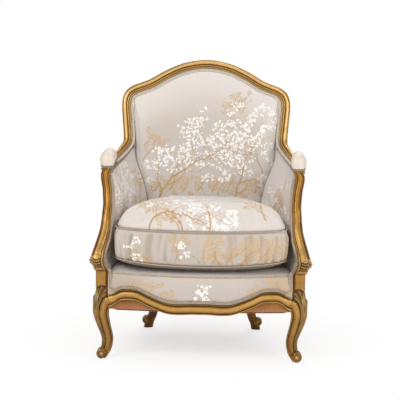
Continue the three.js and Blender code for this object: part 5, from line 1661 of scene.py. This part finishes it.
cushionTopRoots = [
    (-170, -335, 58, 230, 5.0, 0.4, 3, True), (30, -335, 112, 190, 4.4, -0.5, 3, True),
    (210, -320, 112, 170, 4.0, 0.5, 2, False), (-60, -338, 150, 150, 3.6, 0.6, 2, False),
    (-235, -280, 62, 190, 4.0, -0.4, 2, False), (-20, -150, 84, 200, 4.0, 0.4, 2, True),
    (160, -120, 110, 170, 4.0, 0, 2, False), (-160, -80, 74, 170, 3.6, 0.4, 2, False),
    (80, -20, 80, 140, 3.6, 0, 2, True),
]
# Along the sides from the middle of the front: leaves to the right, florets to the left
cushionSideRoots = [
    (x, 326, 90 + 34 * (-1) ** k, 80, 3.4, 0, 1 + k % 2, False) for k, x in enumerate(range(14, 560, 24))
] + [
    (x, 326, 90 + 34 * (-1) ** k, 90, 3.4, 0, 1, k % 2 == 0) for k, x in enumerate(range(600, 2260, 84))
]


# Gathers of slack cloth: waves along a seam that lean and come and go
def gathers(along, up, seed):
    chance = np.random.default_rng(seed)
    fold = np.zeros(len(along))
    for wave in (17, 23, 31, 45, 70):
        lean, start, patch = chance.uniform(-14, 14), chance.uniform(0, 6), chance.uniform(70, 130)
        strength = (wave / 31) ** 0.5 * smooth(0.5 + 0.9 * np.sin(along / patch * 2 + start * 2))
        fold += strength * np.sin(2 * math.pi * (along + lean * up) / wave + start)
    return fold


def makeCushion():
    finish = (brocade, "brocade", ["seat_cushion"])
    piece = makePiece("seat_cushion_upholstery", cushionStart(), *finish, body="cushion")
    seams = (cushion["bottomSeam"], cushion["topSeam"])

    def held(points):
        flat = (points - planShift) * 1000
        height = (flat[:, 2] - cushion["base"]) / cushion["thick"]
        share = cushionPlace(flat)[1]
        weights = np.zeros(len(flat))
        for seam in seams:
            near = bell(flat[:, 2] - seamLevel(flat, seam), slack["seamHeld"])
            weights = np.maximum(weights, near * (share > 0.93))
        under = (height < 0.02) * (share < 0.9)
        return np.clip(np.maximum(weights * 1.6, under * 1.0), 0, 1)

    onlyActive(piece)
    piece.data.remesh_voxel_size = cushion["voxel"]
    bpy.ops.object.voxel_remesh()
    swell(piece, held)
    report("cushion swelled")
    onlyActive(piece)
    rounder = piece.modifiers.new("rounder", "SUBSURF")
    rounder.levels = rounder.render_levels = 1
    bpy.ops.object.modifier_apply(modifier="rounder")
    count = len(piece.data.vertices)
    place = np.empty(count * 3)
    piece.data.vertices.foreach_get("co", place)
    flat = (place.reshape(-1, 3) - planShift) * 1000
    around, share = cushionPlace(flat)
    height = (flat[:, 2] - cushion["base"]) / cushion["thick"]
    away = unit((flat - cushionMiddle) * [1, 1, 0])
    boxing = smooth((height - 0.08) / 0.05) * (1 - smooth((height - 0.5) / 0.075))
    boxing = smooth((share - 0.9) / 0.08) * boxing
    up = np.clip((height - seams[0]) / (seams[1] - seams[0]), 0, 1)
    fold = gathers(around, up, 7)
    flat += away * (fold * boxing * (0.45 + 0.55 * np.abs(2 * up - 1)) * slack["fold"])[:, None]
    # Painted shade along the seams, where the cloth draws in
    paintedShade = np.zeros(count)
    edge = smooth((share - 0.9) / 0.06)
    for seam in seams:
        above = flat[:, 2] - seamLevel(flat, seam)
        flat -= away * (bell(above, slack["seamWide"]) * edge * slack["seamDeep"])[:, None]
        paintedShade = np.maximum(paintedShade, bell(above, slack["seamShade"]) * edge)
    # The cushion's underside darkened as painted shade
    paintedShade = np.maximum(paintedShade, cushionShade["under"] * smooth((0.03 - height) / 0.03))
    puckers = smooth((share - 0.45) / 0.4) * smooth((height - 0.6) / 0.08) * gathers(around, share * 3, 9)
    flat[:, 2] += puckers * smooth((1.0 - share) / 0.08) * slack["pucker"]
    piece.data.vertices.foreach_set("co", (flat / 1000 + planShift).ravel())
    side = smooth((share - 0.93) / 0.03) * (height < seams[1] + 0.02)
    band = height < seams[0] + cornerLift(flat[:, 0], flat[:, 1], seams[0]) / cushion["thick"]
    topMarks = wovenMarks(flat[:, 0], flat[:, 1], growSprays(61, cushionTopRoots))
    sideMarks = wovenMarks(around, flat[:, 2], growSprays(62, cushionSideRoots))
    marks = {name: mix(topMarks[name], sideMarks[name], side) for name in topMarks}
    # The lower band under the bottom seam darkened as painted shade
    marks["paintedShade"] = np.maximum(paintedShade, cushionShade["band"] * band)
    # Painted shade: darker on the boxing and in the valleys of its folds
    valleys = boxing * smooth((-fold + 0.4) / 3.0)
    tone = cushionShade["top"] + cushionShade["side"] * side + cushionShade["valleys"] * valleys
    marks["tone"] = np.where(band, 1.0, tone)
    setMarks(piece, marks)
    piece.data.shade_smooth()


def makeCushionWelts():
    for name in ("bottom", "top"):
        path = cushionRing(evenly(120)[:-1], 1.0, cushion[f"{name}Seam"], 1.5)
        shape = tube(path, evenly(420)[:-1], cushion["welt"], loop=True)
        finish = (piping, "brocade", [f"cushion_welt_{name}"])
        makePiece(f"cushion_piping_{name}", shape, *finish, body="cushion")


makeCushion()
makeCushionWelts()
# Painted shadow on the deck beneath the cushion, and painted shade on the inside arms along their seams with
# the back and the deck
paintShadeAgainst(bpy.data.objects["seat_deck_stuffing"], [("seat_cushion_upholstery", 9, 0.55)])
for sideName in ("right", "left"):
    nearby = [("inside_back_upholstery", 3.2, 1.0), ("seat_deck_stuffing", 3.0, 1.0)]
    paintShadeAgainst(bpy.data.objects[f"inside_arm_upholstery_{sideName}"], nearby)
report("cushion made")


# Webbing and the cloth under the seat
def makeWebs():
    for nodeName in [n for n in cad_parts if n.startswith("web_")]:
        low, high = [(np.array(corner) - planShift) * 1000 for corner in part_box(nodeName)]
        long = 1 if nodeName.startswith("web_long") else 0
        s, t, grid = shareGrid(evenly(8, 0.02, 0.98), evenly(60))
        across, along = mix(low[1 - long], high[1 - long], s), mix(low[long], high[long], t)
        sag = -1.2 * np.sin(math.pi * t)
        x, y = (along, across) if long == 0 else (across, along)
        middle = (low[2] + high[2]) / 2 + sag
        shape = slab(grid, stack(x, y, middle + 0.8), stack(x, y, middle - 0.8))
        strip = makePiece(f"{nodeName}_strap", shape, canvas, "canvas", [nodeName])


def makeBottomCloth():
    low, high = [(np.array(corner) - planShift) * 1000 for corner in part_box("bottom_cloth")]
    s, t, grid = shareGrid(evenly(60, -1, 1), evenly(50))
    plan = curveAt(sidePlan, mix(0.1, 0.95, t))
    x = s * np.minimum(plan[:, 0] - 6, high[0] - 6)
    front = frontFace(x) + apron["ledge"] + 21
    y = mix(front, seatCorner[1] - 20, t)
    clear = np.maximum(0, np.abs(x) - (chair["legX"] - 44)) * smooth((chair["legY"] + 44 - y) / 30)
    x = x - np.sign(x) * clear
    z = (low[2] + high[2]) / 2 + 0.3 - 2 * np.sin(math.pi * t) * (1 - s * s)
    shape = slab(grid, stack(x, y, z + 0.6), stack(x, y, z - 0.6))
    piece = makePiece("bottom_dust_cloth", shape, dustCloth, "canvas", ["bottom_cloth"])


makeWebs()
makeBottomCloth()
report("underside made")

# Camera, light and floor
view = {"place": (0.06, -3.8407, 0.786), "down": 4.1, "left": 1.07, "roll": 1.0, "lens": 96.4}


def makeCamera():
    camera = bpy.data.objects.new("camera", bpy.data.cameras.new("camera"))
    bpy.context.scene.collection.objects.link(camera)
    camera.data.lens = view["lens"]
    camera.data.sensor_width = 36
    turn = Matrix.Identity(4)
    for degrees, axis in ((view["left"], "Z"), (90 - view["down"], "X"), (view["roll"], "Z")):
        turn = turn @ Matrix.Rotation(math.radians(degrees), 4, axis)
    camera.matrix_world = Matrix.Translation(Vector(view["place"])) @ turn
    bpy.context.scene.camera = camera


lamps = {
    "key": {"place": (-2.2, -3.0, 3.2), "size": 2.2, "power": 90},
    "fill": {"place": (2.8, -2.6, 1.8), "size": 2.6, "power": 54},
    "back": {"place": (0.3, 2.2, 3.2), "size": 2.2, "power": 46},
}


def makeLamps():
    for name, lamp in lamps.items():
        data = bpy.data.lights.new(name, "AREA")
        data.shape = "DISK"
        data.size = lamp["size"]
        data.energy = lamp["power"]
        made = bpy.data.objects.new(name, data)
        bpy.context.scene.collection.objects.link(made)
        made.location = lamp["place"]
        aim = Vector((0, 0, 0.5)) - made.location
        made.rotation_euler = aim.to_track_quat("-Z", "Y").to_euler()
    world = bpy.data.worlds.new("room")
    bpy.context.scene.world = world
    world.use_nodes = True
    tree = world.node_tree
    plain = tree.nodes["Background"]
    plain.inputs["Color"].default_value = (1, 0.99, 0.98, 1)
    plain.inputs["Strength"].default_value = 0.52
    white = addNode(tree, "ShaderNodeBackground", {"Color": (1, 1, 1, 1), "Strength": 1.0})
    ray = addNode(tree, "ShaderNodeLightPath")
    seen = calculate(tree, "MAXIMUM", ray.outputs["Is Camera Ray"], ray.outputs["Is Transmission Ray"])
    both = addNode(tree, "ShaderNodeMixShader", {0: seen, 1: plain.outputs[0], 2: white.outputs[0]})
    tree.links.new(both.outputs[0], tree.nodes["World Output"].inputs["Surface"])


def makeFloor():
    finish, tree, surface, place = newFinish("paleFloor", Roughness=0.9)
    tone = noiseAt(tree, place, 3)
    base = blendColours(tree, ranged(tree, tone, 0.3, 0.7), (0.93, 0.91, 0.89, 1), (0.91, 0.89, 0.87, 1))
    tree.links.new(base, surface.inputs["Base Color"])
    glow = addNode(tree, "ShaderNodeEmission", {"Color": (1, 1, 1, 1), "Strength": 1.0})
    ray = addNode(tree, "ShaderNodeLightPath")
    middle = addNode(tree, "ShaderNodeVectorMath", {0: place, 1: (0, 0.1, 0)}, operation="DISTANCE")
    away = ranged(tree, middle.outputs["Value"], 0.1, 0.8, 0.62, 1.0)
    seen = times(tree, away, ray.outputs["Is Camera Ray"])
    both = addNode(tree, "ShaderNodeMixShader", {0: seen, 1: surface.outputs[0], 2: glow.outputs[0]})
    tree.links.new(both.outputs[0], tree.nodes["Material Output"].inputs["Surface"])
    bpy.ops.object.select_all(action="DESELECT")
    bpy.ops.mesh.primitive_plane_add(size=14, location=(0, 0, 0))
    floor = bpy.context.object
    floor.name = "floor"
    floor.data.materials.append(finish)


makeCamera()
makeLamps()
makeFloor()
bpy.context.scene.view_settings.view_transform = "Standard"
report("camera, light and floor set")
